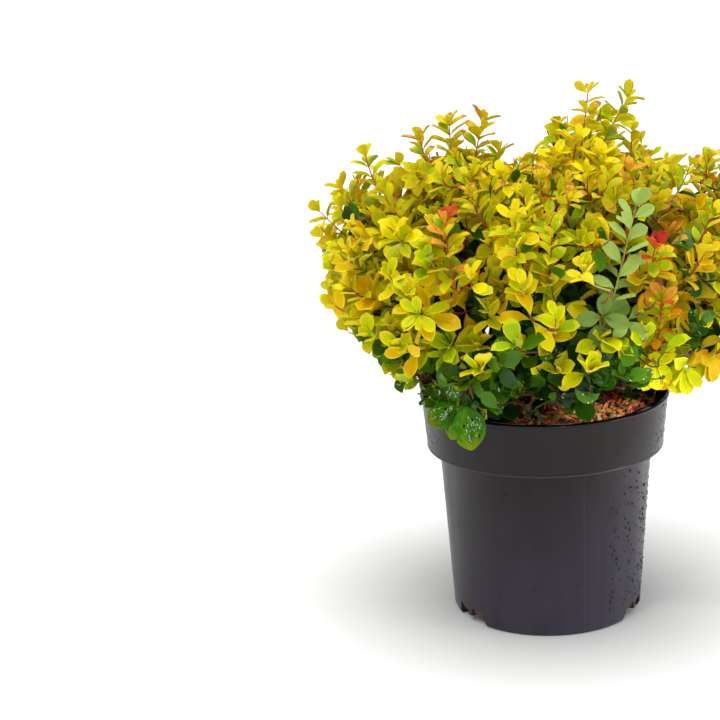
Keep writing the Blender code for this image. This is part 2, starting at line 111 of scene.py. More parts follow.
# Crown, as in the solids: its reach from its foot by elevation, and its leaders
CROWN_FOOT = np.array((0.0, 0.0, 0.215))
REACH_BY_ELEVATION = np.array((
    (-30, 0.112), (-15, 0.124), (0, 0.136), (10, 0.160), (20, 0.206),
    (30, 0.238), (42, 0.258), (54, 0.258), (66, 0.238), (80, 0.208), (90, 0.202),
))
LEADER_SPREAD = 13.0
Mass = namedtuple("Mass", "name azimuth elevation reach")
MASSES = (
    Mass("top_right", 2, 79, 0.281),
    Mass("top_left", 193, 72, 0.266),
    Mass("top_front", 272, 62, 0.242),
    Mass("top_back", 92, 60, 0.230),
    Mass("upper_right", 350, 51, 0.270),
    Mass("upper_front_right", 303, 40, 0.254),
    Mass("upper_front_left", 238, 41, 0.254),
    Mass("upper_left", 180, 46, 0.280),
    Mass("upper_back_left", 128, 42, 0.256),
    Mass("upper_back_right", 52, 42, 0.258),
    Mass("lower_right", 346, 15, 0.196),
    Mass("lower_front_right", 303, 11, 0.172),
    Mass("lower_front", 264, 7, 0.152),
    Mass("lower_front_left", 221, 11, 0.166),
    Mass("lower_left", 176, 21, 0.206),
    Mass("lower_back_left", 116, 14, 0.182),
    Mass("lower_back_right", 56, 14, 0.182),
)
SITE_SHARE = 0.62
# Boughs by tier, then the main twigs of a mass, how many leading shoots stand out of it and the share of its
# reach that the other shoots fill
Tier = namedtuple("Tier", "bough_height bough_radius bough_share twigs leaders filling")
TIERS = {
    "top": Tier(0.0330, 0.0036, 0.44, 7, 17, 0.80),
    "upper": Tier(0.0235, 0.0034, 0.45, 7, 16, 0.85),
    "lower": Tier(0.0105, 0.0030, 0.46, 6, 5, 0.88),
}
TOP_ROOT_OFFSET = 0.0058
BOUGH_TAPER = 0.66
BOUGH_RISE = 0.20
BOUGH_STEPS = 5
BOUGH_SWAY = 0.004
BARK_VOXEL = 0.0008
FURROW_DEPTH = 0.00030
KNOT_HEIGHT = 0.00035

# Main twigs, by the solids' seeded rule
SEED = 100
MASS_STEM_SHARE = 0.74
STEM_TWIG_RADIUS = 0.0021
TWIG_RADIUS = 0.0017
TWIG_TIP_RADIUS = 0.0012
TIP_SPACING = 0.044
TIP_SHELL = 0.52
TIP_CROWDING = 0.35
TIP_TRIES = 2600
LONGEST_TWIG = 0.115
SPRAY_LENGTH = 0.044
POT_CLEARANCE = 0.0035
SOIL_CLEARANCE = 0.006

# Shoots, carried on from the twigs by the same rule
SHOOT_TRIES = 9000
SHOOT_SPACING = 0.0225
SHOOT_SHELL = 0.46
LEADER_SPACING = 0.024
LEADER_TRIES = 500
LEADER_INSET = 0.011
LONGEST_SHOOT = 0.10
SHOOT_TIP_CLEARANCE = 0.006
SHOOT_CLEARANCE = 0.002
SHOOT_RADIUS = 0.00095
SHOOT_TIP_RADIUS = 0.0005
SHOOT_STEPS = 6
TWIG_STEPS = 8

# Leaves: their size, and how far each half of a blade swells as a share of its width
LEAF_LENGTH = 0.0245
LEAF_WIDTH = 0.58
LEAF_THICKNESS = 0.00045
LEAF_DOME = 0.16
# Half the blade's width and how far along the leaf it is, from its root to its tip
LEAF_OUTLINE = (
    (0.0, 0.0), (0.10, 0.10), (0.42, 0.26), (0.82, 0.43), (1.0, 0.62), (0.94, 0.79), (0.60, 0.93), (0.0, 1.0),
)
LEAF_COLUMNS = (-1.0, -0.82, 0.0, 0.82, 1.0)
# How leaves stand on a shoot, in degrees: how far each turns on from the one before and how unevenly, how
# far the tip's inmost leaves and all others lean away from it, and how much further the oldest lean
TURN = 137.5
TURN_JITTER = 14
INMOST_LEAN = (8, 24)
LEAN = (26, 58)
OLD_LEAN = 20
# How unevenly leaves face, and the share of a shoot that stays bare at its foot
FACE_JITTER = 0.36
BARE_FOOT = 0.12
# How far an ordinary leaf or one of a listed shoot may pass the crown's reach, and any leaf the box
# of the solids; and how far leaves keep from the pot and its filling
LEAF_OVERSHOOT = 0.006
FEATURE_OVERSHOOT = 0.030
BOX_OVERSHOOT = 0.017
LEAF_POT_CLEARANCE = 0.0015
LEAF_SOIL_CLEARANCE = 0.002
# The azimuths between which the lowest leaves leave the mulch in view, and how high these would be
MULCH_VIEW = (286, 346)
MULCH_VIEW_Z = 0.250
# The same for the dark gap over the rim at the front, and the share of the leaves there that leave it
FRONT_GAP = (252, 287)
FRONT_GAP_Z = 0.240
FRONT_GAP_SHARE = 0.8

CAMERA_PLACE = np.array((0.0, -1.5, 0.6457))
CAMERA_LENS = 83.8
CAMERA_YAW = -6.46
CAMERA_PITCH = 15.05
CAMERA_ROLL = -2.61
# The outline of the ordinary shoots as the camera sees it, as (x, z) on the plane through the pot's axis,
# its middle, and how ragged the leaves make it, as a share of the way from there
SEEN_OUTLINE = np.array((
    (-0.220, 0.335), (-0.200, 0.385), (-0.175, 0.415), (-0.115, 0.430), (-0.065, 0.440), (-0.035, 0.425),
    (-0.010, 0.425), (0.010, 0.460), (0.035, 0.470), (0.080, 0.470), (0.095, 0.435), (0.130, 0.425),
    (0.160, 0.435), (0.200, 0.405), (0.230, 0.345), (0.235, 0.120), (-0.125, 0.120), (-0.135, 0.210),
    (-0.160, 0.245), (-0.190, 0.275), (-0.210, 0.300),
))
SEEN_MIDDLE = np.array((0.0, 0.33))
SEEN_RAGGEDNESS = 0.06


def unit(v):
    return v / np.linalg.norm(v, axis=-1, keepdims=True)


def lerp(a, b, t):
    return a + (b - a) * t


# Colours and finishes


def screen(colour):
    """A screen colour as the light it stands for."""
    shares = (c / 255 for c in colour)
    return (*(s / 12.92 if s <= 0.04045 else ((s + 0.055) / 1.055) ** 2.4 for s in shares), 1.0)


class Finish:
    """A material in the making: its shader, and short ways to add nodes and feed them."""

    def __init__(self, name, colour, roughness, **constants):
        self.material = bpy.data.materials.new(name)
        self.material.use_nodes = True
        self.tree = self.material.node_tree
        self.shader = self.tree.nodes["Principled BSDF"]
        self.set("Base Color", screen(colour))
        self.set("Roughness", roughness)
        for socket, value in constants.items():
            self.set(socket.replace("_", " "), value)

    def feed(self, socket, value):
        if isinstance(value, bpy.types.NodeSocket):
            self.tree.links.new(value, socket)
        else:
            socket.default_value = value

    def set(self, socket, value):
        self.feed(self.shader.inputs[socket], value)

    def add(self, kind, inputs=None, **settings):
        node = self.tree.nodes.new("ShaderNode" + kind)
        for name, value in settings.items():
            setattr(node, name, value)
        for name, value in (inputs or {}).items():
            self.feed(node.inputs[name], value)
        return node

    def maths(self, operation, *values):
        return self.add("Math", dict(enumerate(values)), operation=operation).outputs[0]

    def plus(self, one, other):
        return self.maths("ADD", one, other)

    def minus(self, one, other):
        return self.maths("SUBTRACT", one, other)

    def times(self, one, other):
        return self.maths("MULTIPLY", one, other)

    def apart(self, one, other):
        return self.maths("ABSOLUTE", self.minus(one, other))

    def object_place(self, scale=(1, 1, 1)):
        place = self.add("TexCoord").outputs["Object"]
        return self.add("Mapping", {"Vector": place, "Scale": scale}).outputs["Vector"]

    def parts(self, place):
        return self.add("SeparateXYZ", {"Vector": place}).outputs

    def noise(self, place, scale, detail=3.0, roughness=0.55):
        inputs = {"Vector": place, "Scale": scale, "Detail": detail, "Roughness": roughness}
        return self.add("TexNoise", inputs).outputs["Fac"]

    def ranged(self, value, low, high, to_low, to_high):
        inputs = {"Value": value, "From Min": low, "From Max": high, "To Min": to_low, "To Max": to_high}
        return self.add("MapRange", inputs).outputs["Result"]

    def mixed(self, share, *colours):
        """A share of the second colour in the first; plain ones are screen colours."""
        one, other = (screen(colour) if isinstance(colour, tuple) else colour for colour in colours)
        return self.add("Mix", {0: share, 6: one, 7: other}, data_type="RGBA").outputs[2]

    def blended(self, value, low, high, to_low, to_high, *colours):
        """Two colours mixed by a value that is brought from one range to another."""
        return self.mixed(self.ranged(value, low, high, to_low, to_high), *colours)

    def roughen(self, value, low, high):
        """Lets the roughness wander between two values with a noise."""
        self.set("Roughness", self.ranged(value, 0.3, 0.7, low, high))

    def bump(self, height, strength, distance):
        inputs = {"Height": height, "Strength": strength, "Distance": distance}
        self.set("Normal", self.add("Bump", inputs).outputs["Normal"])


def even_finish(name, colour, roughness, low, high, **constants):
    """One plain colour with a roughness that wanders a little."""
    f = Finish(name, colour, roughness, **constants)
    f.roughen(f.noise(f.object_place(), 700), low, high)
    return f.material


def pot_plastic():
    """Charcoal polypropylene with faint flow marks and a fine grain; painted light makes it dark and brownish
    above, pale and bluish below.
    """
    f = Finish("pot_plastic", (28, 25, 28), 0.4, Specular_IOR_Level=0.27)
    place = f.object_place()
    x, y, z = f.parts(place)
    clouds = f.noise(place, 9)
    flow = f.noise(f.object_place((70, 70, 2.2)), 1.0, 4.0)
    height = f.plus(f.minus(z, f.times(x, 0.5)), f.times(clouds, 0.12))
    # Painted light over the plastic's own tint: darker and brownish high on the left, paler and bluish low on
    # the right
    painted_light_tone = f.blended(height, 0.05, 0.20, 0, 1, (62, 57, 74), (16, 8, 8))
    streaked = f.blended(flow, 0.45, 0.75, 0, 0.4, painted_light_tone, (30, 25, 28))
    # A painted highlight: a pale line along the collar's foot, where its welt catches the light
    welt_highlight_offset = f.apart(z, COLLAR_FOOT_Z + 0.0011)
    edged = f.blended(welt_highlight_offset, 0.0002, 0.0007, 0.4, 0, streaked, (100, 94, 96))
    # The trace of one run of water down the front
    below = f.ranged(z, 0.156, 0.13, 0, 0.14)
    front = f.ranged(y, -0.06, -0.05, 1, 0)
    run = f.times(f.times(f.ranged(f.apart(x, 0.034), 0.0, 0.0012, 1, 0), below), front)
    marked = f.mixed(run, edged, (92, 86, 90))
    # Glints along the top of the lip, which is also glossier than the rest
    top = f.ranged(z, POT_HEIGHT - 0.0005, POT_HEIGHT - 0.0002, 0, 1)
    glints = f.times(top, f.ranged(f.noise(place, 45), 0.5, 0.66, 0, 0.8))
    f.set("Base Color", f.mixed(glints, marked, (170, 170, 180)))
    dulled = f.plus(f.ranged(clouds, 0.3, 0.7, 0.28, 0.40), f.ranged(flow, 0.3, 0.7, -0.04, 0.06))
    lip = f.ranged(z, POT_HEIGHT - 0.0042, POT_HEIGHT - 0.003, 0, 1)
    f.set("Roughness", f.minus(dulled, f.times(lip, 0.26)))
    f.bump(f.plus(f.noise(place, 1500, 2.0), f.times(flow, 0.6)), 0.12, 0.0004)
    return f.material


def mulch():
    """Damp composted bark that wanders between two browns, painted paler near the pot's floor as painted
    light where it shows in the drain holes.
    """
    brown = (82, 48, 34)
    f = Finish("mulch", brown, 0.8)
    place = f.object_place()
    _, _, z = f.parts(place)
    coarse = f.noise(place, 160, 5.0)
    crumbs = f.blended(coarse, 0.35, 0.65, 0, 1, brown, (44, 28, 22))
    # Painted light: paler near the pot's floor, so the bark in the shaded drain holes shows
    f.set("Base Color", f.blended(z, 0.012, 0.018, 1, 0, crumbs, (104, 66, 42)))
    f.roughen(coarse, 0.55, 0.92)
    f.bump(f.plus(coarse, f.noise(f.object_place((900, 900, 260)), 1.0)), 0.6, 0.0008)
    return f.material


def chip_finish(name, colour):
    """One tint of bark chip, rough and finely split along its grain."""
    f = Finish(name, colour, 0.75)
    f.roughen(f.noise(f.object_place(), 320), 0.5, 0.9)
    f.bump(f.noise(f.object_place((1400, 500, 900)), 1.0), 0.7, 0.0006)
    return f.material


def bark():
    """Young barberry bark: warm brown with grey weathering and fine furrows along the limb."""
    f = Finish("bark", (110, 70, 48), 0.75)
    place = f.object_place((1, 1, 0.35))
    furrows = f.noise(place, 420, 5.0, 0.6)
    brown = f.blended(furrows, 0.35, 0.65, 0, 1, (70, 44, 32), (140, 92, 62))
    f.set("Base Color", f.blended(f.noise(place, 70), 0.5, 0.75, 0, 0.7, brown, (134, 120, 104)))
    f.roughen(furrows, 0.9, 0.6)
    f.bump(furrows, 0.8, 0.0007)
    return f.material


def shoot_finish(name, colour, roughness):
    """The skin of a twig or shoot, lightly ribbed."""
    f = Finish(name, colour, roughness)
    ribs = f.noise(f.object_place((1, 1, 0.3)), 900)
    f.roughen(ribs, roughness - 0.08, roughness + 0.12)
    f.bump(ribs, 0.5, 0.0003)
    return f.material


def leaf_map(f, veins, slant):
    """A leaf's map: the place on it, its two parts, how far it is from the midrib, and its slanting veins.

    The map runs across from 0 to 1 with the midrib at a half, and from the leaf's root at 0 to its tip at 1.
    """
    place = f.add("UVMap", uv_map="OFBake").outputs["UV"]
    across, along, _ = f.parts(place)
    aside = f.apart(across, 0.5)
    return place, across, along, aside, f.maths("SINE", f.minus(f.times(along, veins), f.times(aside, slant)))


def leaf_finish(name, colour, roughness, coat):
    """One tint of leaf, with a sunk midrib, side veins that fork off it and a faintly uneven gloss."""
    f = Finish(
        "leaf_" + name, colour, roughness, Coat_Weight=coat, Coat_Roughness=0.06, Specular_IOR_Level=0.08,
        Subsurface_Weight=0.4, Subsurface_Radius=(1.0, 0.9, 0.2), Subsurface_Scale=0.001,
    )
    place, _, _, aside, veins = leaf_map(f, 62.0, 44.0)
    blisters = f.noise(place, 9)
    f.roughen(blisters, roughness - 0.07, roughness + 0.1)
    ribs = f.plus(f.ranged(aside, 0.0, 0.05, -1.0, 0.0), f.times(veins, 0.22))
    f.bump(f.plus(ribs, f.times(blisters, 0.8)), 0.5, 0.0004)
    return f.material


def rim_leaf_finish():
    """A wet, full green leaf: pale midrib, darker between its side veins, painted shade on one half, with a
    glossy uneven skin.
    """
    f = Finish("rim_leaf", (70, 134, 8), 0.3, Coat_Weight=0.16, Coat_Roughness=0.04, Specular_IOR_Level=0.0)
    place, across, along, aside, veins = leaf_map(f, 50.0, 40.0)
    patches = f.noise(place, 5)
    green = f.blended(patches, 0.35, 0.65, 0, 1, (42, 96, 4), (78, 132, 6))
    # Painted shade: one half of the blade is darker, as the half that turns from the light
    blade = f.blended(across, 0.44, 0.56, 0.4, 0, green, (28, 76, 4))
    aged = f.blended(f.plus(f.times(patches, 0.5), along), 0.85, 1.2, 0, 0.7, blade, (124, 140, 0))
    ribbed = f.blended(veins, 0.8, 1.0, 0, 0.12, aged, (120, 170, 10))
    f.set("Base Color", f.blended(aside, 0.006, 0.016, 0.3, 0, ribbed, (130, 176, 20)))
    f.roughen(patches, 0.22, 0.4)
    f.bump(f.plus(f.times(veins, -0.12), f.times(patches, 1.0)), 0.6, 0.0006)
    return f.material


# Meshes


def linked(name, data, materials=()):
    """A new object in the scene, with its materials."""
    for material in materials:
        data.materials.append(material)
    obj = bpy.data.objects.new(name, data)
    bpy.context.scene.collection.objects.link(obj)
    return obj


def mesh_from(bm, name):
    mesh = bpy.data.meshes.new(name)
    bm.to_mesh(mesh)
    bm.free()
    return mesh


def object_from(bm, name, materials=()):
    return linked(name, mesh_from(bm, name), materials)


def finished(obj, slot, *nodes, sharp=35):
    """Shades a piece and hands it over: it rides with the plant in place of these solids. The slot is not
    used.
    """
    obj.data.shade_smooth()
    obj.data.set_sharp_from_angle(angle=math.radians(sharp))
    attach(obj, "root")
    if nodes:
        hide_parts(*nodes)
    return obj


def applied(obj):
    """Applies an object's modifiers to its mesh."""
    graph = bpy.context.evaluated_depsgraph_get()
    mesh = bpy.data.meshes.new_from_object(obj.evaluated_get(graph))
    obj.modifiers.clear()
    obj.data = mesh
    return obj


def cut(obj, cutter):
    """Cuts one solid out of another and drops the cutter."""
    mod = obj.modifiers.new("cut", "BOOLEAN")
    mod.operation = "DIFFERENCE"
    mod.solver = "EXACT"
    mod.object = cutter
    applied(obj)
    bpy.data.objects.remove(cutter)


class Pattern:
    """A small closed mesh as arrays, to be repeated many times in one joined mesh."""

    def __init__(self, bm):
        mesh = mesh_from(bm, "pattern")
        self.points = np.array([v.co for v in mesh.vertices])
        self.loops = np.array([loop.vertex_index for loop in mesh.loops])
        self.starts = np.array([p.loop_start for p in mesh.polygons])
        self.slots = np.array([p.material_index for p in mesh.polygons])
        layer = mesh.uv_layers.active
        self.map = np.array([d.uv for d in layer.data]) if layer else None
        bpy.data.meshes.remove(mesh)


def repeated(name, pattern, points, materials, slots=0):
    """One object of many copies of a pattern.

    The points are (copies, vertices, 3); the slots are (copies, faces), (copies, 1) or one for all.
    """
    copies, count, _ = points.shape
    faces = len(pattern.starts)
    offsets = np.arange(copies)[:, None]
    starts = pattern.starts + offsets * len(pattern.loops)
    mesh = bpy.data.meshes.new(name)
    mesh.vertices.add(copies * count)
    mesh.vertices.foreach_set("co", points.astype(np.float32).ravel())
    mesh.loops.add(copies * len(pattern.loops))
    mesh.loops.foreach_set("vertex_index", (pattern.loops + offsets * count).astype(np.int32).ravel())
    mesh.polygons.add(copies * faces)
    mesh.polygons.foreach_set("loop_start", starts.astype(np.int32).ravel())
    slots = np.broadcast_to(slots, (copies, faces)).astype(np.int32)
    mesh.polygons.foreach_set("material_index", slots.ravel())
    mesh.update(calc_edges=True)
    if pattern.map is not None:
        layer = mesh.uv_layers.new(name="OFBake")
        layer.data.foreach_set("uv", np.tile(pattern.map, (copies, 1)).astype(np.float32).ravel())
    return linked(name, mesh, materials)


# Pot and filling


def arc(centre, radius, start, end, steps):
    """Points on an arc in a profile's plane, angles in degrees from the outward radius."""
    angles = [math.radians(start + (end - start) * k / steps) for k in range(steps + 1)]
    return [(centre[0] + radius * math.cos(a), centre[1] + radius * math.sin(a)) for a in angles]


def turned(name, profile, segments, materials):
    """A solid of revolution about Z from a profile of (radius, height) that starts and ends on the axis."""
    bm = bmesh.new()
    points = [bm.verts.new((r, 0.0, z)) for r, z in profile]
    edges = [bm.edges.new(pair) for pair in zip(points, points[1:])]
    bmesh.ops.spin(
        bm, geom=points + edges, cent=(0, 0, 0), axis=(0, 0, 1),
        angle=math.tau, steps=segments, use_merge=True, use_duplicate=False,
    )
    bmesh.ops.remove_doubles(bm, verts=bm.verts, dist=1e-6)
    bmesh.ops.recalc_face_normals(bm, faces=bm.faces)
    return object_from(bm, name, materials)


def collar_radius(z):
    share = (z - COLLAR_FOOT_Z) / (POT_HEIGHT - COLLAR_FOOT_Z)
    return COLLAR_FOOT_RADIUS + (RIM_RADIUS - RIM_BEAD - COLLAR_FOOT_RADIUS) * share


def body_radius(z):
    share = (z - FOOT_ROUNDING) / (COLLAR_FOOT_Z - FOOT_ROUNDING)
    return BODY_FOOT_RADIUS + (BODY_TOP_RADIUS - BODY_FOOT_RADIUS) * share


def pot_profile():
    """The pot's section: foot ring, body, collar with a fine welt at its foot, and the rolled lip."""
    bead_z = POT_HEIGHT - RIM_BEAD_HEIGHT
    inner_floor = FLOOR_UNDERSIDE_Z + FLOOR_THICKNESS
    shoulder_z = COLLAR_FOOT_Z + WALL
    welt = 0.0004
    foot = [
        (0.0, 0.0), (CENTRE_PAD_RADIUS, 0.0), (CENTRE_PAD_RADIUS, FLOOR_UNDERSIDE_Z),
        (FOOT_RADIUS - FOOT_RING_WIDTH, FLOOR_UNDERSIDE_Z), (FOOT_RADIUS - FOOT_RING_WIDTH, 0.0),
    ]
    heel = [(FOOT_RADIUS - 0.001, 0.0), (FOOT_RADIUS, 0.0006), (BODY_FOOT_RADIUS, FOOT_ROUNDING)]
    body = [(BODY_TOP_RADIUS - 0.0006, COLLAR_FOOT_Z - 0.0008), (BODY_TOP_RADIUS, COLLAR_FOOT_Z)]
    rounding = arc((COLLAR_FOOT_RADIUS - 0.0006, COLLAR_FOOT_Z + 0.0008), 0.0008 + welt, -90, 20, 6)
    collar = [
        (collar_radius(COLLAR_FOOT_Z + 0.0022) + 0.0001, COLLAR_FOOT_Z + 0.0018),
        (collar_radius(COLLAR_FOOT_Z + 0.0030), COLLAR_FOOT_Z + 0.0030),
        (collar_radius(bead_z), bead_z),
    ]
    bead = arc((RIM_RADIUS - RIM_BEAD, bead_z + RIM_BEAD), RIM_BEAD, -70, 80, 7)
    lip = arc((RIM_RADIUS - RIM_BEAD - WALL * 0.55, POT_HEIGHT - 0.0008), 0.0008, 70, 170, 5)
    inside = [
        (RIM_RADIUS - RIM_BEAD - WALL, POT_HEIGHT - 0.003),
        (collar_radius(shoulder_z) - WALL, shoulder_z), (body_radius(COLLAR_FOOT_Z) - WALL, shoulder_z),
        (body_radius(inner_floor) - WALL, inner_floor), (0.0, inner_floor),
    ]
    return foot + heel + body + rounding + collar + bead + lip + inside


def boxes(name, placements):
    """One cutter of boxes that don't touch, each a size and a matrix."""
    bm = bmesh.new()
    for size, matrix in placements:
        bmesh.ops.create_cube(bm, size=1.0, matrix=matrix @ Matrix.Diagonal((*size, 1.0)))
    edges = [e for e in bm.edges if abs(e.verts[0].co.z - e.verts[1].co.z) > 0.006]
    bmesh.ops.bevel(
        bm, geom=edges, offset=CUT_ROUNDING, affect="EDGES", segments=3, profile=0.5, material=-1,
        clamp_overlap=True,
    )
    return object_from(bm, name)


def around(azimuth, radius, sideways, z):
    """A frame at the pot's foot: X runs outwards, Y round the pot."""
    return Matrix.Rotation(math.radians(azimuth), 4, "Z") @ Matrix.Translation((radius, sideways, z))


def make_pot():
    pot = turned("pot_moulding", pot_profile(), POT_SEGMENTS, [pot_plastic()])
    ring_inner = FOOT_RADIUS - FOOT_RING_WIDTH
    reach_out = 0.03
    notch_low = -0.004
    notch_size = (reach_out, NOTCH_WIDTH, FLOOR_UNDERSIDE_Z - notch_low)
    drain_size = (reach_out, DRAIN_WIDTH, DRAIN_TOP_Z - notch_low)
    notches = [
        (notch_size, around(a, ring_inner - 0.001 + reach_out / 2, 0.0, (FLOOR_UNDERSIDE_Z + notch_low) / 2))
        for a in NOTCH_AZIMUTHS
    ]
    drain_radius = BODY_FOOT_RADIUS - DRAIN_DEPTH + reach_out / 2
    drains = [
        (drain_size, around(a, drain_radius, side * DRAIN_SPACING / 2, (DRAIN_TOP_Z + notch_low) / 2))
        for a in NOTCH_AZIMUTHS
        for side in (-1, 1)
    ]
    cut(pot, boxes("foot_notches", notches))
    cut(pot, boxes("drain_holes", drains))
    return finished(pot, "pot_plastic", "pot")


def soil_height(x, y):
    """The mulch's uneven surface: heaped a little round the stem and sunk at the wall."""
    edge = collar_radius(SOIL_EDGE_Z) - WALL - GAP
    share = min(1.0, math.hypot(x, y) / edge)
    level = SOIL_TOP_Z + (SOIL_EDGE_Z - SOIL_TOP_Z) * share ** 2
    rough = noise.noise(Vector((x * 60, y * 60, 0.0))) + 0.5 * noise.noise(Vector((x * 190, y * 190, 4.0)))
    return level + SOIL_UNEVENNESS * rough * (1 - share ** 6)


def make_mulch():
    floor_z = FLOOR_UNDERSIDE_Z + FLOOR_THICKNESS + GAP
    shoulder_z = COLLAR_FOOT_Z + WALL + GAP
    edge = collar_radius(SOIL_EDGE_Z) - WALL - GAP
    below = [
        (0.0, floor_z), (body_radius(floor_z) - WALL - GAP, floor_z),
        (body_radius(COLLAR_FOOT_Z) - WALL - GAP, shoulder_z),
        (collar_radius(shoulder_z) - WALL - GAP, shoulder_z), (edge, SOIL_EDGE_Z),
    ]
    top = [(edge * (1 - k / SOIL_RINGS), SOIL_TOP_Z) for k in range(1, SOIL_RINGS + 1)]
    heap = turned("mulch_bed", below + top, SOIL_SEGMENTS, [mulch()])
    for v in heap.data.vertices:
        if v.co.z > SOIL_EDGE_Z + 0.0001:
            v.co.z = soil_height(v.co.x, v.co.y)
    return finished(heap, "potting_mix", "root_ball", sharp=60)


def chip_pattern():
    """A sliver of bark, one unit long: a bevelled block, thinner and narrower at its ends."""
    bm = bmesh.new()
    bmesh.ops.create_cube(bm, size=1.0)
    long_edges = [e for e in bm.edges if abs(e.verts[0].co.x - e.verts[1].co.x) > 0.5]
    bmesh.ops.subdivide_edges(bm, edges=long_edges, cuts=2, use_grid_fill=True)
    for v in bm.verts:
        share = 1.0 if abs(v.co.x) < 0.3 else 0.55
        v.co.y *= share
        v.co.z *= share
    bmesh.ops.triangulate(bm, faces=[f for f in bm.faces if len(f.verts) > 4])
    bmesh.ops.recalc_face_normals(bm, faces=bm.faces)
    return Pattern(bm)


def make_chips():
    """Bark chips strewn over the mulch, in five plain tints, and pressed a little into it."""
    rng = random.Random(11)
    pattern = chip_pattern()
    edge = collar_radius(SOIL_EDGE_Z) - WALL
    points, slots = [], []
    for _ in range(CHIPS):
        length = rng.uniform(0.004, 0.016)
        width = length * rng.uniform(0.13, 0.34)
        thick = rng.uniform(0.0008, 0.0022)
        radius = (edge - length * 0.5 - 0.0006) * math.sqrt(rng.uniform(0.03, 1.0))
        azimuth = rng.uniform(0, math.tau)
        x, y = radius * math.cos(azimuth), radius * math.sin(azimuth)
        turn = Matrix.Rotation(rng.uniform(0, math.tau), 3, "Z")
        turn = turn @ Matrix.Rotation(math.radians(rng.gauss(0, CHIP_TILT)), 3, "Y")
        turn = turn @ Matrix.Rotation(math.radians(rng.gauss(0, CHIP_TILT)), 3, "X")
        bent = pattern.points * (length, width, thick)
        bent = bent + np.array([[0, rng.gauss(0, width * 0.16), 0] for _ in bent])
        place = np.array((x, y, soil_height(x, y) + thick * 0.3 + rng.random() ** 3 * CHIP_HEAP))
        points.append(bent @ np.array(turn).T + place)
        slots.append(rng.choices(range(len(CHIP_TINTS)), [share for _, _, share in CHIP_TINTS]))
    materials = [chip_finish("bark_chip_" + name, colour) for name, colour, _ in CHIP_TINTS]
    return finished(repeated("bark_chips", pattern, np.array(points), materials, slots), "potting_mix")


def wall_radius(z):
    """The pot's outer radius at a height, above its foot."""
    return collar_radius(z) if z > COLLAR_FOOT_Z + COLLAR_ROUNDING else body_radius(z)


def make_drops():
    """Rain drops that cling to the pot, thick on its right side; some have begun to run."""
    rng = random.Random(5)
    bm = bmesh.new()
    bmesh.ops.create_uvsphere(bm, u_segments=8, v_segments=6, radius=1.0)
    pattern = Pattern(bm)
    body = (DRAIN_TOP_Z + 0.004, COLLAR_FOOT_Z - 0.006)
    collar = (COLLAR_FOOT_Z + 0.005, POT_HEIGHT - 0.006)
    # Each patch: how many drops, their azimuths, their heights and their largest radius
    patches = (
        (150, (-24, 0), body, 0.0013), (170, (-52, -20), body, 0.0011), (110, (-26, 8), collar, 0.0012),
        (60, (0, 60), body, 0.0012), (26, (-60, -24), collar, 0.0008), (16, (196, 214), collar, 0.0011),
        (60, (60, 300), body, 0.0009), (40, (60, 300), collar, 0.0009),
    )
    points = []
    for count, azimuths, heights, largest in patches:
        for _ in range(count):
            azimuth = rng.uniform(*azimuths)
            z = heights[0] + (heights[1] - heights[0]) * rng.random() ** 1.25
            r = largest * (0.28 + 0.72 * rng.random() ** 2.2)
            run = rng.uniform(1.6, 3.2) if rng.random() < 0.12 else rng.uniform(0.95, 1.3)
            shape = pattern.points * (r * 0.42, r, r * run)
            turn = np.array(Matrix.Rotation(math.radians(azimuth), 3, "Z"))
            points.append(shape @ turn.T + towards(azimuth, 0) * wall_radius(z) + (0, 0, z))
    # They show the dark plastic behind them and a glint of the light
    water = even_finish("rain_drops", (20, 19, 22), 0.06, 0.03, 0.12, IOR=1.33)
    return finished(repeated("rain_drops", pattern, np.array(points), [water]), "pot_plastic")


# Limbs and the rule by which they grow


def towards(azimuth, elevation):
    a, e = math.radians(azimuth), math.radians(elevation)
    return np.array((math.cos(a) * math.cos(e), math.sin(a) * math.cos(e), math.sin(e)))


def heading_of(mass):
    return towards(mass.azimuth, mass.elevation)


def tier_of(mass):
    return TIERS[mass.name.split("_")[0]]


def base_reach(elevation):
    """The crown's reach at elevations, before its leaders stand out of it."""
    angles, reaches = REACH_BY_ELEVATION.T
    e = np.clip(elevation, angles[0], angles[-1])
    k = np.clip(np.searchsorted(angles, e) - 1, 0, len(angles) - 2)
    t = (e - angles[k]) / (angles[k + 1] - angles[k])
    return reaches[k] + (reaches[k + 1] - reaches[k]) * t * t * (3 - 2 * t)


def crown_reach(directions):
    """The distance from the crown's foot to its outline in each direction."""
    reach = base_reach(np.degrees(np.arcsin(np.clip(directions[:, 2], -1, 1))))
    for mass in MASSES:
        apart = np.degrees(np.arccos(np.clip(directions @ heading_of(mass), -1, 1)))
        reach = reach + (mass.reach - base_reach(mass.elevation)) * np.exp(-((apart / LEADER_SPREAD) ** 2))
    return reach


def bezier(start, handle, end, steps):
    """Points on a quadratic curve through its two ends, drawn towards its middle handle."""
    t = np.linspace(0, 1, steps + 1)[:, None]
    return start * (1 - t) ** 2 + handle * 2 * t * (1 - t) + end * t * t


def stem_axis(height):
    return np.array((0, 0, SOIL_TOP_Z + GAP + height)) + STEM_LEAN * (height / STEM_HEIGHT)


def bough_path(mass, steps=BOUGH_STEPS):
    """A bough's path, from inside the stem's skin to its tip."""
    outward = towards(mass.azimuth, 0)
    tip = CROWN_FOOT + heading_of(mass) * mass.reach * tier_of(mass).bough_share
    rise = mass.reach * BOUGH_RISE
    if mass.name.startswith("top"):
        start = stem_axis(STEM_HEIGHT - 0.004) + outward * TOP_ROOT_OFFSET
        handle = start + np.array((0, 0, rise)) + outward * 0.006
    else:
        start = stem_axis(tier_of(mass).bough_height) + outward * (STEM_TOP_RADIUS - 0.003)
        handle = lerp(start, tip, 0.5) - np.array((0, 0, rise / 4))
    sway = BOUGH_SWAY * math.sin(math.radians(3 * mass.azimuth + 40))
    return bezier(start, handle + np.cross(outward, (0, 0, 1)) * sway, tip, steps)


def site_of(mass):
    """The middle of a mass's own space."""
    return CROWN_FOOT + heading_of(mass) * mass.reach * SITE_SHARE


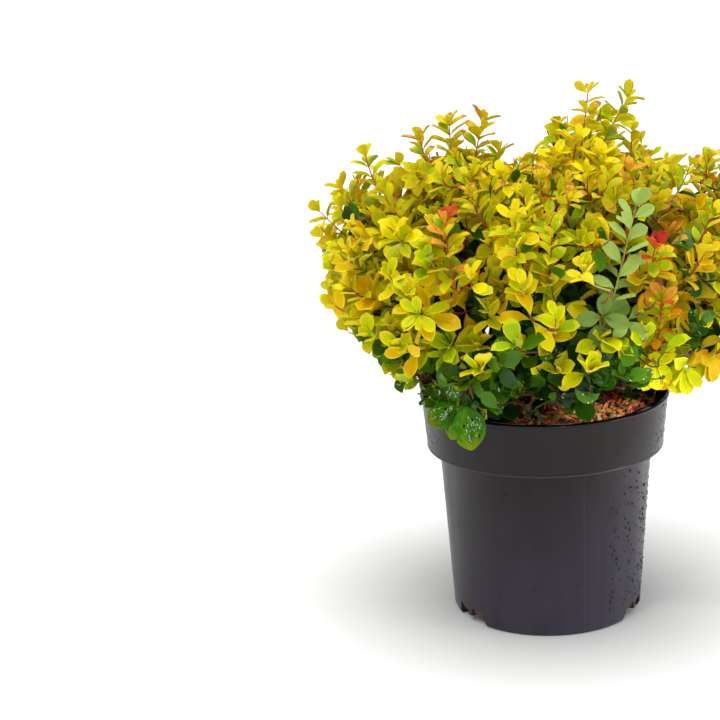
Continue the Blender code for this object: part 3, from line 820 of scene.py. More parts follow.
def holds(mass, points):
    """Which points lie in a mass's own space, away from its neighbours' spaces."""
    own = site_of(mass)
    inside = np.ones(len(points), bool)
    for other in MASSES:
        if other is not mass:
            site = site_of(other)
            inside &= (points - (own + site) / 2) @ unit(site - own) < -GAP
    return inside


def clear_of_pot(points, pot_clearance, soil_clearance):
    """Which points are well outside the pot's wall and above its filling."""
    radius = np.hypot(points[:, 0], points[:, 1])
    wall_inside = RIM_RADIUS - RIM_BEAD - WALL
    over_soil = (radius < wall_inside - 2 * pot_clearance) & (points[:, 2] > SOIL_TOP_Z + soil_clearance)
    return (points[:, 2] > POT_HEIGHT + pot_clearance) | over_soil | (radius > RIM_RADIUS + pot_clearance)


class Limbs:
    """The stem and the boughs as straight stretches, to keep twigs clear of them."""

    def __init__(self, limbs):
        self.a = np.concatenate([path[:-1] for path, _ in limbs])
        self.b = np.concatenate([path[1:] for path, _ in limbs])
        self.ra = np.concatenate([radii[:-1] for _, radii in limbs])
        self.rb = np.concatenate([radii[1:] for _, radii in limbs])

    def distance(self, points):
        """How far each point lies outside the nearest limb's skin."""
        along = self.b - self.a
        away = points[:, None] - self.a
        t = np.clip((away * along).sum(-1) / (along * along).sum(-1), 0, 1)
        gap = np.linalg.norm(away - along * t[..., None], axis=-1)
        return (gap - (self.ra + (self.rb - self.ra) * t)).min(1)

    def open_at(self, points, clearance):
        return clear_of_pot(points, POT_CLEARANCE, SOIL_CLEARANCE) & (self.distance(points) >= clearance)


class Grown:
    """The places on what has grown so far where a new twig may leave it."""

    def __init__(self):
        self.roots = np.empty((0, 3))
        self.headings = np.empty((0, 3))

    def add(self, path, shares=(0.25, 0.6, 0.95)):
        spans = (path[1:] - path[:-1])[:, None]
        roots = path[:-1, None] + spans * np.array(shares)[:, None]
        headings = np.broadcast_to(unit(spans), roots.shape)
        self.roots = np.concatenate((self.roots, roots.reshape(-1, 3)))
        self.headings = np.concatenate((self.headings, headings.reshape(-1, 3)))

    def join(self, tip):
        """The nearest place from which a twig can run outwards to a tip: (root, heading, span)."""
        span = np.linalg.norm(tip - self.roots, axis=1)
        outwards = np.linalg.norm(tip - CROWN_FOOT) - np.linalg.norm(self.roots - CROWN_FOOT, axis=1)
        best = np.argmin(span - 0.5 * outwards)
        return self.roots[best], self.headings[best], span[best]


def twig_path(root, heading, tip, steps):
    """A twig that leaves its parent forwards and then turns up to its tip."""
    span = np.linalg.norm(tip - root)
    handle = root + heading * span * 0.35 + (tip - root) * 0.25 + np.array((0, 0, -0.06)) * span
    return bezier(root, handle, tip, steps)


def shoot_path(root, tip):
    """A fine shoot that swings upwards towards its tip, or hangs a little where it is low on the crown."""
    away = tip - CROWN_FOOT
    lift = min(0.9, max(-0.1, (tip[2] - 0.25) * 9))
    rise = unit(unit(away) + np.array((0, 0, lift)))
    return bezier(root, tip - rise * np.linalg.norm(tip - root) * 0.5, tip, SHOOT_STEPS)


def between(path):
    """Places all along a twig after its root, no further apart than a few millimetres."""
    found = []
    for a, b in zip(path, path[1:]):
        steps = max(1, math.ceil(np.linalg.norm(b - a) / 0.004))
        found += [lerp(a, b, (k + 1) / steps) for k in range(steps)]
    return np.array(found)


def spread_tips(mass, limbs, rng):
    """Where the main twigs end: the leader, then places in the crown's shell that keep their distance."""
    draws = [([rng.gauss(0, 1) for _ in range(3)], rng.random()) for _ in range(TIP_TRIES)]
    headings = unit(np.array([heading for heading, _ in draws]))
    shares = TIP_SHELL + (1 - TIP_SHELL) * np.array([draw for _, draw in draws]) ** TIP_CROWDING
    reach = crown_reach(headings) - SPRAY_LENGTH * 0.75
    points = CROWN_FOOT + headings * (reach * shares)[:, None]
    fits = holds(mass, points) & limbs.open_at(points, SPRAY_LENGTH * 0.2)
    tips = [CROWN_FOOT + heading_of(mass) * (mass.reach - SPRAY_LENGTH * 0.8)]
    for point in points[fits]:
        if len(tips) == tier_of(mass).twigs:
            break
        if np.linalg.norm(np.array(tips) - point, axis=1).min() > TIP_SPACING:
            tips.append(point)
    return tips


def main_twigs(mass, limbs):
    """The mass's stem and its main twigs, as in the solids: paths with few points."""
    rng = random.Random(SEED + MASSES.index(mass))
    path = bough_path(mass)
    ahead = unit(path[-1] - path[-2])
    start = path[-1] + ahead * GAP
    top = CROWN_FOOT + heading_of(mass) * mass.reach * MASS_STEM_SHARE
    handle = lerp(start, top, 0.5) + ahead * 0.01
    stem = np.concatenate(([start], bezier(start + ahead * 0.004, handle, top, 3)))
    grown = Grown()
    grown.add(stem)
    twigs = []
    for tip in sorted(spread_tips(mass, limbs, rng), key=lambda t: np.linalg.norm(t - start)):
        root, heading, span = grown.join(tip)
        twig = twig_path(root, heading, tip, 2)
        if span > LONGEST_TWIG or not holds(mass, twig).all():
            continue
        if limbs.open_at(between(twig), TWIG_RADIUS + 0.001).all():
            grown.add(twig)
            twigs.append(twig_path(root, heading, tip, TWIG_STEPS))
    return start, stem, twigs


def kept_apart(points, spacing, taken):
    """Takes the points in turn that keep their distance from each other and from those taken before."""
    kept = list(taken)
    first = len(kept)
    for point in points:
        if not kept or ((np.array(kept) - point) ** 2).sum(1).min() > spacing * spacing:
            kept.append(point)
    return kept[first:]


def shoots_of(mass, limbs, start, stem, twigs):
    """The finer shoots of a mass, by the same rule: leading ones to its outline, then the filling ones."""
    def free(points):
        kept = holds(mass, points) & limbs.open_at(points, SHOOT_TIP_CLEARANCE)
        return points[kept & ~over_mulch(points) & seen_inside(points)]

    rng = np.random.default_rng(SEED + MASSES.index(mass))
    headings = unit(rng.normal(size=(SHOOT_TRIES, 3)))
    reach = crown_reach(headings)
    shares = (SHOOT_SHELL ** 3 + (1 - SHOOT_SHELL ** 3) * rng.random(SHOOT_TRIES)) ** (1 / 3)
    inner = free(CROWN_FOOT + headings * (reach * tier_of(mass).filling * shares)[:, None])
    outer = free(CROWN_FOOT + headings * (reach - LEADER_INSET)[:, None])
    leaders = kept_apart(outer[:LEADER_TRIES], LEADER_SPACING, [])[: tier_of(mass).leaders]
    fillers = kept_apart(inner, SHOOT_SPACING, leaders)
    grown = Grown()
    for path in [stem, *twigs]:
        grown.add(path, (0.5, 1.0))
    shoots = []
    wanted = [(tip, True) for tip in leaders] + [(tip, False) for tip in fillers]
    for tip, leading in sorted(wanted, key=lambda w: np.linalg.norm(w[0] - start)):
        root, heading, span = grown.join(tip)
        if span > LONGEST_SHOOT:
            continue
        path = shoot_path(root, tip)
        if limbs.open_at(path[2:], SHOOT_CLEARANCE).all() and not over_mulch(path[-2:]).any():
            grown.add(path, (0.5, 1.0))
            shoots.append((path, leading))
    return shoots, grown


# Wood


def frames_along(path):
    """A turning-free frame at each point of a path, as matrices with Z along it."""
    matrices = []
    side = None
    for k, point in enumerate(path):
        ahead = Vector(unit(path[min(k + 1, len(path) - 1)] - path[max(k - 1, 0)]))
        side = ahead.orthogonal() if side is None else side - ahead * side.dot(ahead)
        side.normalize()
        matrix = Matrix((side, ahead.cross(side), ahead)).transposed().to_4x4()
        matrix.translation = Vector(point)
        matrices.append(matrix)
    return matrices


def add_limb(bm, path, radii, sides):
    """A closed tapering limb: a ring extruded from frame to frame along its path."""
    places = [m @ Matrix.Diagonal((r, r, 1.0, 1.0)) for m, r in zip(frames_along(path), radii)]
    ring = bmesh.ops.create_circle(bm, segments=sides, radius=1.0, matrix=places[0])["verts"]
    edges = list({e for v in ring for e in v.link_edges})
    ends = list(edges)
    for last, place in zip(places, places[1:]):
        made = bmesh.ops.extrude_edge_only(bm, edges=edges)["geom"]
        ring = {g for g in made if isinstance(g, bmesh.types.BMVert)}
        edges = [g for g in made if isinstance(g, bmesh.types.BMEdge) and set(g.verts) <= ring]
        bmesh.ops.transform(bm, verts=list(ring), matrix=place @ last.inverted())
    bmesh.ops.holes_fill(bm, edges=ends + edges, sides=0)


def stem_path():
    heights = (0.0, 0.002, 0.005, 0.011, 0.019, 0.027, STEM_HEIGHT)
    radii = (STEM_FLARE_RADIUS, 0.0150, 0.0134, STEM_RADIUS, 0.0113, 0.0110, STEM_TOP_RADIUS)
    return np.array([stem_axis(h) for h in heights]), np.array(radii)


def bough_radii(mass, count):
    radius = tier_of(mass).bough_radius
    return np.linspace(radius, radius * BOUGH_TAPER, count)


def make_wood():
    """Stem and boughs grown into one skin, with bark in relief."""
    bm = bmesh.new()
    path, radii = stem_path()
    add_limb(bm, path, radii, 24)
    for mass in MASSES:
        path = bough_path(mass, 12)
        add_limb(bm, path, bough_radii(mass, len(path)), 12)
    bmesh.ops.recalc_face_normals(bm, faces=bm.faces)
    wood = object_from(bm, "stem_and_boughs", [bark()])
    mod = wood.modifiers.new("grown_together", "REMESH")
    mod.mode = "VOXEL"
    mod.voxel_size = BARK_VOXEL
    applied(wood)
    normals = [v.normal.copy() for v in wood.data.vertices]
    for v, normal in zip(wood.data.vertices, normals):
        place = Vector((v.co.x * 900, v.co.y * 900, v.co.z * 260))
        furrow = noise.noise(place) + 0.5 * noise.noise(place * 2.3)
        knots = noise.noise(v.co * 120)
        v.co += normal * (FURROW_DEPTH * furrow + KNOT_HEIGHT * knots)
    names = ["stem"] + ["bough_" + mass.name for mass in MASSES]
    return finished(wood, "bark", *names, sharp=60)


def tubes(paths, radii, sides):
    """Points of closed tubes: paths is (tubes, places, 3), radii (tubes, places)."""
    ahead = np.empty_like(paths)
    ahead[:, 1:-1] = paths[:, 2:] - paths[:, :-2]
    ahead[:, 0] = paths[:, 1] - paths[:, 0]
    ahead[:, -1] = paths[:, -1] - paths[:, -2]
    ahead = unit(ahead)
    whole = unit(paths[:, -1] - paths[:, 0])
    level = np.where(np.abs(whole[:, 2:]) > 0.8, np.array((1.0, 0, 0)), np.array((0, 0, 1.0)))
    side = unit(np.cross(level, whole))[:, None] * np.ones_like(paths)
    side = unit(side - ahead * (side * ahead).sum(-1, keepdims=True))
    up = np.cross(ahead, side)
    angles = math.tau * np.arange(sides) / sides
    ring = side[:, :, None] * np.cos(angles)[:, None] + up[:, :, None] * np.sin(angles)[:, None]
    return (paths[:, :, None] + ring * radii[:, :, None, None]).reshape(len(paths), -1, 3)


class TubePattern:
    """The faces of a closed tube, for joined meshes."""

    def __init__(self, places, sides):
        k = np.arange(places - 1)[:, None] * sides
        s = np.arange(sides)[None]
        n = (s + 1) % sides
        skin = np.stack((k + s, k + n, k + n + sides, k + s + sides), -1).reshape(-1)
        ends = np.concatenate((np.arange(sides)[::-1], np.arange(sides) + (places - 1) * sides))
        self.loops = np.concatenate((skin, ends))
        self.starts = np.concatenate((np.arange(len(skin) // 4) * 4, len(skin) + np.array((0, sides))))
        self.map = None


# Leaves

# Screen colour, roughness and how much of a wet coat each colour has
COLOURS = {
    "gold": ((236, 196, 0), 0.42, 0.04),
    "deep_gold": ((230, 172, 4), 0.42, 0.04),
    "pale_gold": ((246, 220, 40), 0.42, 0.04),
    "lemon": ((236, 218, 4), 0.42, 0.04),
    "chartreuse": ((214, 206, 2), 0.42, 0.05),
    "lime": ((196, 204, 2), 0.42, 0.06),
    "spring": ((164, 190, 2), 0.4, 0.08),
    "grass": ((124, 160, 2), 0.38, 0.12),
    "straw": ((230, 212, 34), 0.5, 0.0),
    "olive": ((220, 204, 20), 0.44, 0.04),
    "bronze": ((226, 170, 44), 0.44, 0.04),
    "russet": ((202, 136, 58), 0.46, 0.02),
    "tan": ((222, 160, 48), 0.5, 0.0),
    "orange": ((232, 138, 24), 0.42, 0.05),
    "rust": ((204, 92, 38), 0.42, 0.05),
    "red": ((190, 56, 34), 0.4, 0.06),
    "crimson": ((166, 34, 34), 0.38, 0.1),
    "green": ((72, 118, 4), 0.36, 0.2),
    "deep_green": ((36, 78, 4), 0.34, 0.24),
    "dark_green": ((20, 50, 6), 0.34, 0.24),
    "pale_green": ((166, 180, 56), 0.5, 0.0),
    "dull_green": ((66, 98, 26), 0.5, 0.0),
    "sage": ((166, 192, 96), 0.5, 0.0),
    "dull_sage": ((118, 146, 66), 0.5, 0.0),
}
PALETTE = list(COLOURS)
# The colours of a leaf's tint: its blade at the root, in the middle and at the tip, its margin and its back
# The backs are mostly paler than the blades: partly their own colour, partly painted light for light through
# the leaf
TINTS = {
    "gold": "chartreuse gold gold pale_gold pale_gold",
    "deep_gold": "gold gold deep_gold orange gold",
    "pale": "chartreuse lemon pale_gold pale_gold pale_gold",
    "lemon": "chartreuse lemon lemon pale_gold straw",
    "lime": "spring lime chartreuse lemon straw",
    "fresh": "grass spring lime lime pale_green",
    "fresh_red": "spring spring lime rust straw",
    "lime_red": "lime lime chartreuse orange straw",
    "olive": "spring olive olive bronze straw",
    "bronze": "olive olive bronze rust tan",
    "rusty": "spring olive russet rust straw",
    "amber": "chartreuse gold deep_gold orange gold",
    "orange": "gold deep_gold orange rust tan",
    "red": "orange rust red red rust",
    "crimson": "rust red crimson crimson rust",
    "rosy": "spring spring lime red straw",
    "blush": "olive tan bronze rust tan",
    "flushed": "chartreuse deep_gold orange red tan",
    "edged": "spring lime gold red straw",
    "green": "green green green green dull_green",
    "half_gold": "spring lime chartreuse gold pale_green",
    "deep": "deep_green deep_green deep_green deep_green dull_green",
    "dark": "dark_green dark_green dark_green dark_green dull_green",
    "sage": "sage sage sage sage sage",
    "dusky": "dull_sage dull_sage dull_sage dull_sage dull_sage",
}
# Each part of the crown's sprays: weight, tint of the older leaves and tint of the youngest
SPRAYS = {
    "outer_top": "22 lime olive, 16 lime_red rusty, 20 lemon lime_red, 16 gold lemon, 12 olive rusty, "
                 "10 fresh_red olive, 2 flushed orange, 6 pale lemon, 8 fresh fresh_red",
    "outer_middle": "20 gold lime, 22 lime lemon, 10 lemon lime, 6 pale lime, 14 lime_red rosy, "
                    "4 amber lime_red, 6 deep_gold gold, 2 flushed red, 18 fresh lime, 10 half_gold fresh",
    "outer_left": "16 gold lemon, 20 lemon lime, 18 pale lime, 22 lime lemon, 10 lime_red rosy, "
                  "10 fresh lime, 4 deep_gold gold",
    "outer_red": "24 rosy rusty, 14 gold edged, 6 amber flushed, 12 lime rosy, 16 fresh_red blush, "
                 "4 fresh_red crimson, 14 edged rusty, 7 deep_gold edged, 3 fresh rosy",
    "outer_low": "14 gold lime, 12 half_gold lime, 18 fresh lime, 30 green fresh, 4 lemon lime, "
                 "30 deep green",
    "outer_low_left": "20 gold lime, 26 half_gold lime, 32 fresh lime, 14 green fresh, 10 lemon lime, "
                      "4 deep green",
    "inner_high": "34 fresh fresh, 26 green fresh, 20 lime fresh, 8 bronze olive, 12 deep green",
    "inner_low": "30 green green, 46 deep green, 24 dark deep",
    "foot_left": "34 green green, 20 half_gold fresh, 26 deep green, 20 fresh fresh",
    "foot": "46 deep green, 12 green green, 40 dark deep, 2 half_gold fresh",
}
# Sprays are at the foot or low below the first two heights, and high inside or at the top above the others;
# they are inside within this share of the crown's reach
FOOT_Z = 0.268
LOW_Z = 0.302
HIGH_Z = 0.37
TOP_Z = 0.41
INNER_REACH = 0.70

# How a shoot bears leaves: its whorls, the leaves in its tip's tuft and in a whorl, how far apart these are,
# its largest leaves' length and width, the length's share in the youngest, how far they spread and hang,
# where they face and the tints of its older, youngest and innermost leaves
UPWARDS = (0, 0, 0.55)
Habit = namedtuple(
    "Habit", "whorls tuft whorl spacing size width young spread hang facing older youngest inner",
    defaults=(0.0, UPWARDS, "", "", ""),
)
# The share of a shoot's oldest leaves that wear its inner tints
INNER_SHARE = 0.6

# Shoots that the photograph shows singly: where they come out and end, the room they keep and their habit
Feature = namedtuple("Feature", "via tip room habit")
# How far behind and in front of such a shoot its room reaches
ROOM_BEHIND = 0.006
ROOM_AHEAD = 0.09


def single(habit, via, tip, older, youngest, room=0.0, **others):
    """A listed shoot, with its own tints and what else differs from a habit."""
    habit = habit._replace(older=older, youngest=youngest, **others)
    return Feature(np.array(via), np.array(tip), room, habit)


SAGE = Habit(9, (4, 4), (2, 2), 0.010, 0.027, 0.50, 0.8, -2, 0.0, (0.1, -1.3, 0.35))
UNDERSIDES = Habit(4, (3, 4), (2, 2), 0.010, 0.028, 0.60, 0.9, 12, 0.5, (0, -1, 0.4))
RED_TIP = Habit(7, (5, 6), (2, 3), 0.0095, 0.023, 0.52, 0.9, 6, 0.0, (0, -0.4, 0.4))
ROSETTE = Habit(3, (6, 6), (3, 3), 0.010, 0.028, 0.50, 0.75, 12, 0.3)
CLUSTER = Habit(3, (5, 6), (3, 3), 0.009, 0.030, 0.56, 0.85, 14, 0.5)
SPIRE = Habit(7, (5, 5), (2, 3), 0.0085, 0.021, 0.50, 0.78, 4)
YELLOW = Habit(4, (6, 6), (3, 3), 0.008, 0.028, 0.46, 0.7, 8)
OLIVE = Habit(8, (5, 6), (3, 3), 0.008, 0.023, 0.48, 0.8, 4)
SMALL_OLIVE = OLIVE._replace(whorls=6, whorl=(2, 3), width=0.50)
SHOULDER = Habit(6, (5, 5), (2, 3), 0.009, 0.022, 0.52, 0.8, 0)
FEATURES = (
    # the pale sage sprig at the right of the middle, and the grey-green undersides below it
    single(SAGE, (0.054, -0.156, 0.318), (0.077, -0.134, 0.402), "sage", "sage", 0.016),
    single(UNDERSIDES, (0.042, -0.120, 0.286), (0.048, -0.160, 0.316), "dusky deep", "dusky", 0.013),
    single(UNDERSIDES, (0.058, -0.120, 0.284), (0.069, -0.150, 0.310), "dusky deep sage", "sage", 0.012,
           tuft=(3, 3), size=0.029, hang=0.6, facing=(0, -1, 0.3)),
    # the deep red sprig left of the middle
    single(RED_TIP, (-0.072, -0.160, 0.345), (-0.077, -0.164, 0.396), "edged rosy lime_red blush",
           "red crimson red blush", 0.014),
    # gold rosettes low on the front, with drooping leaves
    single(ROSETTE, (-0.088, -0.140, 0.312), (-0.100, -0.172, 0.324), "gold half_gold gold lime", "lime",
           0.017),
    single(ROSETTE, (-0.008, -0.160, 0.312), (-0.010, -0.196, 0.328), "gold half_gold lemon", "lime", 0.017),
    # the yellow cluster that overhangs the rim at the right
    single(CLUSTER, (0.080, -0.072, 0.264), (0.092, -0.114, 0.266), "fresh half_gold deep_gold", "lime",
           0.016, whorls=4, tuft=(6, 6), width=0.58, spread=12, hang=0.4),
    single(CLUSTER, (0.100, -0.062, 0.262), (0.119, -0.100, 0.257), "deep_gold fresh half_gold", "lime",
           0.018),
    single(CLUSTER, (0.115, -0.052, 0.266), (0.141, -0.080, 0.261), "fresh gold half_gold", "gold", 0.016,
           size=0.029, hang=0.45),
    # the red-tipped rosette above it
    single(RED_TIP, (0.094, -0.125, 0.276), (0.096, -0.158, 0.326), "edged rosy flushed", "red rosy blush",
           0.020, whorl=(3, 3), spacing=0.0085, size=0.022, width=0.50, young=0.85),
    # the spires at the top right, over large yellow leaves
    single(SPIRE, (0.034, -0.040, 0.425), (0.042, -0.030, 0.483), "fresh_red rusty", "rusty"),
    single(SPIRE, (0.050, -0.030, 0.430), (0.077, -0.010, 0.475), "fresh_red fresh", "rusty edged"),
    single(YELLOW, (0.026, -0.040, 0.410), (0.031, -0.058, 0.444), "lemon pale", "lemon", 0.012,
           size=0.029, spread=4),
    single(YELLOW, (0.040, -0.050, 0.405), (0.050, -0.072, 0.432), "pale lemon", "pale"),
    single(YELLOW, (0.012, -0.045, 0.405), (0.012, -0.064, 0.432), "gold lemon", "lemon", size=0.026),
    # the olive and rusty shoots at the top left
    single(SMALL_OLIVE, (-0.113, -0.030, 0.394), (-0.123, -0.030, 0.425), "olive rusty", "rusty rosy",
           size=0.020),
    single(OLIVE, (-0.095, -0.020, 0.398), (-0.105, -0.020, 0.445), "olive rusty fresh_red", "rusty blush",
           size=0.022),
    single(OLIVE, (-0.077, -0.020, 0.404), (-0.079, -0.020, 0.457), "olive fresh_red rusty", "olive rusty"),
    single(OLIVE, (-0.062, 0.0, 0.404), (-0.051, 0.0, 0.457), "rusty olive rosy", "rusty blush bronze"),
    single(SMALL_OLIVE, (-0.042, -0.030, 0.395), (-0.035, -0.030, 0.434), "olive fresh lemon", "olive",
           size=0.022),
    # the lime shoots of the left shoulder
    single(SHOULDER, (-0.142, -0.030, 0.400), (-0.153, -0.030, 0.433), "lime fresh", "lime",
           tuft=(4, 5), width=0.50),
    single(SHOULDER, (-0.148, -0.030, 0.365), (-0.176, -0.024, 0.404), "lime", "lemon", whorls=7, size=0.023),
    single(SHOULDER, (-0.155, -0.030, 0.345), (-0.197, -0.022, 0.384), "lemon lime", "lime"),
)

Leaf = namedtuple("Leaf", "root along face length width bend fold tint")

# Rain on the leaves, its drops painted pale as glints: its largest drop, the share of leaves that have some,
# and the colours of the wettest
DROP_RADIUS = 0.0008
WET_SHARE = 0.03
WET_SHARE_GREEN = 0.34
WET_COLOURS = ("deep_green", "dark_green", "green")


def leaf_pattern():
    """A flat leaf's points as (across, along, depth) shares: an obovate blade on a narrow stalk.

    The upper skin has a margin strip down each side, the lower skin is plainer, and both meet at the edge.
    Its faces' slots are 0, 1 and 2 for the blade from root to tip, 3 for the margin and 4 for the underside.
    """
    bm = bmesh.new()
    rows = len(LEAF_OUTLINE) - 1
    for columns, depth in ((LEAF_COLUMNS, 0.0), ((-1.0, 0.0, 1.0), -1.0)):
        spans = len(columns) - 1
        grid = bmesh.ops.create_grid(bm, x_segments=spans, y_segments=rows, size=1.0)["verts"]
        faces = {f for v in grid for f in v.link_faces}
        for f in faces:
            middle = f.calc_center_median()
            third = 0 if middle.y < -0.35 else 1 if middle.y < 0.35 else 2
            f.material_index = 4 if depth else 3 if abs(middle.x) > 0.5 else third
        if depth:
            bmesh.ops.reverse_faces(bm, faces=list(faces))
        for v in grid:
            half, along = LEAF_OUTLINE[round((v.co.y + 1) / 2 * rows)]
            across = columns[round((v.co.x + 1) / 2 * spans)]
            inside = abs(across) < 0.99 and 0 < along < 1
            v.co = (across * half, along, depth if inside else 0.0)
    bmesh.ops.remove_doubles(bm, verts=bm.verts, dist=1e-5)
    layer = bm.loops.layers.uv.new("OFBake")
    for f in bm.faces:
        for loop in f.loops:
            loop[layer].uv = (0.5 + loop.vert.co.x * 0.5, loop.vert.co.y)
    return Pattern(bm)


def leaf_points(pattern, leaves):
    """The points of every leaf: the flat pattern folded along its midrib, bent along its length and set."""
    across, along, depth = pattern.points.T
    length = np.array([leaf.length for leaf in leaves])[:, None]
    half = length * np.array([leaf.width for leaf in leaves])[:, None] / 2
    bend = np.array([leaf.bend for leaf in leaves])[:, None]
    fold = np.array([leaf.fold for leaf in leaves])[:, None]
    forward = unit(np.array([leaf.along for leaf in leaves]))
    face = np.array([leaf.face for leaf in leaves])
    face = unit(face - forward * (face * forward).sum(1, keepdims=True))
    side = np.cross(forward, face)
    root = np.array([leaf.root for leaf in leaves])
    ahead = length * along * (1 - 0.18 * np.abs(bend) * along)
    outer = np.abs(across)
    swell = np.where(depth < 0, 0.0, 4 * outer * (1 - outer) * LEAF_DOME)
    rise = (outer ** 0.9 * fold + swell) * half - bend * length * along ** 2 + depth * LEAF_THICKNESS
    aside = across * half * (1 - 0.12 * np.abs(fold))
    return (
        root[:, None] + forward[:, None] * ahead[..., None]
        + side[:, None] * aside[..., None] + face[:, None] * rise[..., None]
    )


def spray_tints(tip, rng):
    """The tints of a spray's older and youngest leaves, by how high and how far out it is."""
    x, y, z = tip
    away = tip - CROWN_FOOT
    distance = np.linalg.norm(away)
    share = distance / crown_reach((away / distance)[None])[0]
    if z < FOOT_Z + rng.uniform(-0.006, 0.006):
        part = "foot" if x > -0.06 else "foot_left"
    elif share < INNER_REACH:
        part = "inner_high" if z > HIGH_Z or x < -0.08 else "inner_low"
    elif z < LOW_Z:
        part = "outer_low" if x > -0.03 else "outer_low_left"
    elif x - y * 0.3 > 0.08 + rng.uniform(0, 0.05):
        part = "outer_red"
    elif z > TOP_Z:
        part = "outer_top"
    else:
        part = "outer_left" if x < -0.09 else "outer_middle"
    rows = [row.split() for row in SPRAYS[part].split(",")]
    _, older, youngest = rng.choices(rows, [int(row[0]) for row in rows])[0]
    return older, youngest


def habit_at(tip, leading, rng):
    """How an ordinary shoot bears leaves, by where it ends."""
    x, _, z = tip
    older, youngest = spray_tints(tip, rng)
    older = f"{older} {older} {older} {spray_tints(tip, rng)[0]}"
    size = LEAF_LENGTH * (0.88 if z > TOP_Z else 1.0 if z > 0.32 else 1.18) * rng.uniform(0.88, 1.12)
    width = LEAF_WIDTH * (0.82 if z > TOP_Z else 1.0)
    spacing = rng.uniform(0.0075, 0.0105)
    if z > 0.40:
        inner = "fresh fresh half_gold green"
    else:
        inner = "fresh green" if z > (HIGH_Z if x > -0.08 else 0.31) else "green deep deep dark"
    if leading:
        whorls, tuft, whorl, young, spread = 9, (5, 6), (2, 3, 3), 0.76, 0
    else:
        whorls, tuft = (4, (4, 5)) if z > 0.27 else (3, (3, 4))
        whorl, young, spread = (1, 2, 2), 0.85, 4
    tints = (older, youngest, inner)
    return Habit(whorls, tuft, whorl, spacing, size, width, young, spread, 0.0, UPWARDS, *tints)


def set_leaves(path, habit, rng, leaves):
    """Sets whorls of leaves down a shoot from the tuft at its tip, smaller and more upright near the tip."""
    steps = np.linalg.norm(path[1:] - path[:-1], axis=1)
    places = np.concatenate(([0], np.cumsum(steps)))
    place = total = places[-1]
    turn = rng.uniform(0, 360)
    node = 0
    while node < habit.whorls and (node == 0 or place > total * BARE_FOOT):
        k = min(int(np.searchsorted(places, place, side="right")) - 1, len(steps) - 1)
        root = lerp(path[k], path[k + 1], (place - places[k]) / steps[k])
        ahead = unit(path[k + 1] - path[k])
        across = unit(np.cross(ahead, (0.3, 0.2, 0.9) if abs(ahead[2]) < 0.9 else (1, 0, 0)))
        other = np.cross(ahead, across)
        age = min(1.0, node / (habit.whorls * 0.45))
        for leaf in range(rng.choice(habit.whorl if node else habit.tuft)):
            turn += TURN
            a = math.radians(turn + rng.gauss(0, TURN_JITTER))
            inmost = node == 0 and leaf < 2 and not habit.hang
            lean = rng.uniform(*INMOST_LEAN) if inmost else rng.uniform(*LEAN) + OLD_LEAN * age + habit.spread
            lean = math.radians(lean)
            grown = habit.young + (1 - habit.young) * age
            grown *= rng.uniform(0.6, 0.8) if inmost else rng.uniform(0.85, 1.1)
            outwards = across * math.cos(a) + other * math.sin(a)
            along = ahead * math.cos(lean) + outwards * math.sin(lean) + np.array((0, 0, 0.1 - habit.hang))
            face = ahead * 0.9 + habit.facing + np.array([rng.gauss(0, FACE_JITTER) for _ in range(3)])
            tints = habit.youngest if node == 0 or (node == 1 and leaf == 0) else habit.older
            if node > 2 and habit.inner and rng.random() < INNER_SHARE:
                tints = habit.inner
            tint = rng.choice(tints.split())
            leaves.append(Leaf(
                root, unit(along), face, habit.size * grown, habit.width * rng.uniform(0.85, 1.15),
                rng.uniform(0.0, 0.28) + 0.1 * age, rng.uniform(0.1, 0.5), tint,
            ))
        place -= habit.spacing
        node += 1


def roots_and_spans(leaves):
    """Where leaves are rooted and how far each runs from there to its tip."""
    roots = np.array([leaf.root for leaf in leaves])
    return roots, np.array([unit(leaf.along) * leaf.length for leaf in leaves])


def fitting(leaves, overshoot):
    """The leaves that stay within the crown's reach and clear of the pot and its filling."""
    roots, spans = roots_and_spans(leaves)
    fits = np.ones(len(leaves), bool)
    for share in (0.4, 0.7, 1.0):
        places = roots + spans * share
        fits &= clear_of_pot(places, LEAF_POT_CLEARANCE, LEAF_SOIL_CLEARANCE)
        within_rim = np.hypot(places[:, 0], places[:, 1]) < RIM_RADIUS - 0.01
        fits &= within_rim | (places[:, 2] > POT_HEIGHT + 0.001)
    away = roots + spans - CROWN_FOOT
    distance = np.linalg.norm(away, axis=1)
    fits &= distance < crown_reach(away / distance[:, None]) + overshoot
    return [leaf for leaf, fit in zip(leaves, fits) if fit]


def seen_inside(points, growth=1.0):
    """Which points the camera sees within the crown's outline, once this is grown by a factor."""
    seen = points - CAMERA_PLACE
    seen = CAMERA_PLACE + seen * (CAMERA_PLACE[1] / (CAMERA_PLACE[1] - points[:, 1]))[:, None]
    x, z = ((seen[:, [0, 2]] - SEEN_MIDDLE) / growth + SEEN_MIDDLE).T
    inside = np.zeros(len(points), bool)
    for (x0, z0), (x1, z1) in zip(SEEN_OUTLINE, np.roll(SEEN_OUTLINE, -1, axis=0)):
        if z0 != z1:
            inside ^= ((z0 > z) != (z1 > z)) & (x < x0 + (z - z0) * (x1 - x0) / (z1 - z0))
    return inside


def low_between(points, azimuths, height):
    """Which points are lower than a height, between two azimuths and away from the stem."""
    azimuth = np.degrees(np.arctan2(points[:, 1], points[:, 0])) % 360
    low = (points[:, 2] < height) & (np.hypot(points[:, 0], points[:, 1]) > 0.03)
    return low & (azimuth > azimuths[0]) & (azimuth < azimuths[1])


def over_mulch(points):
    """Which points are low enough at the right front to cover the mulch that shows there."""
    over_rim = (points[:, 0] > 0.10) & (points[:, 1] < 0.03) & (points[:, 2] < MULCH_VIEW_Z)
    return low_between(points, MULCH_VIEW, MULCH_VIEW_Z) | over_rim


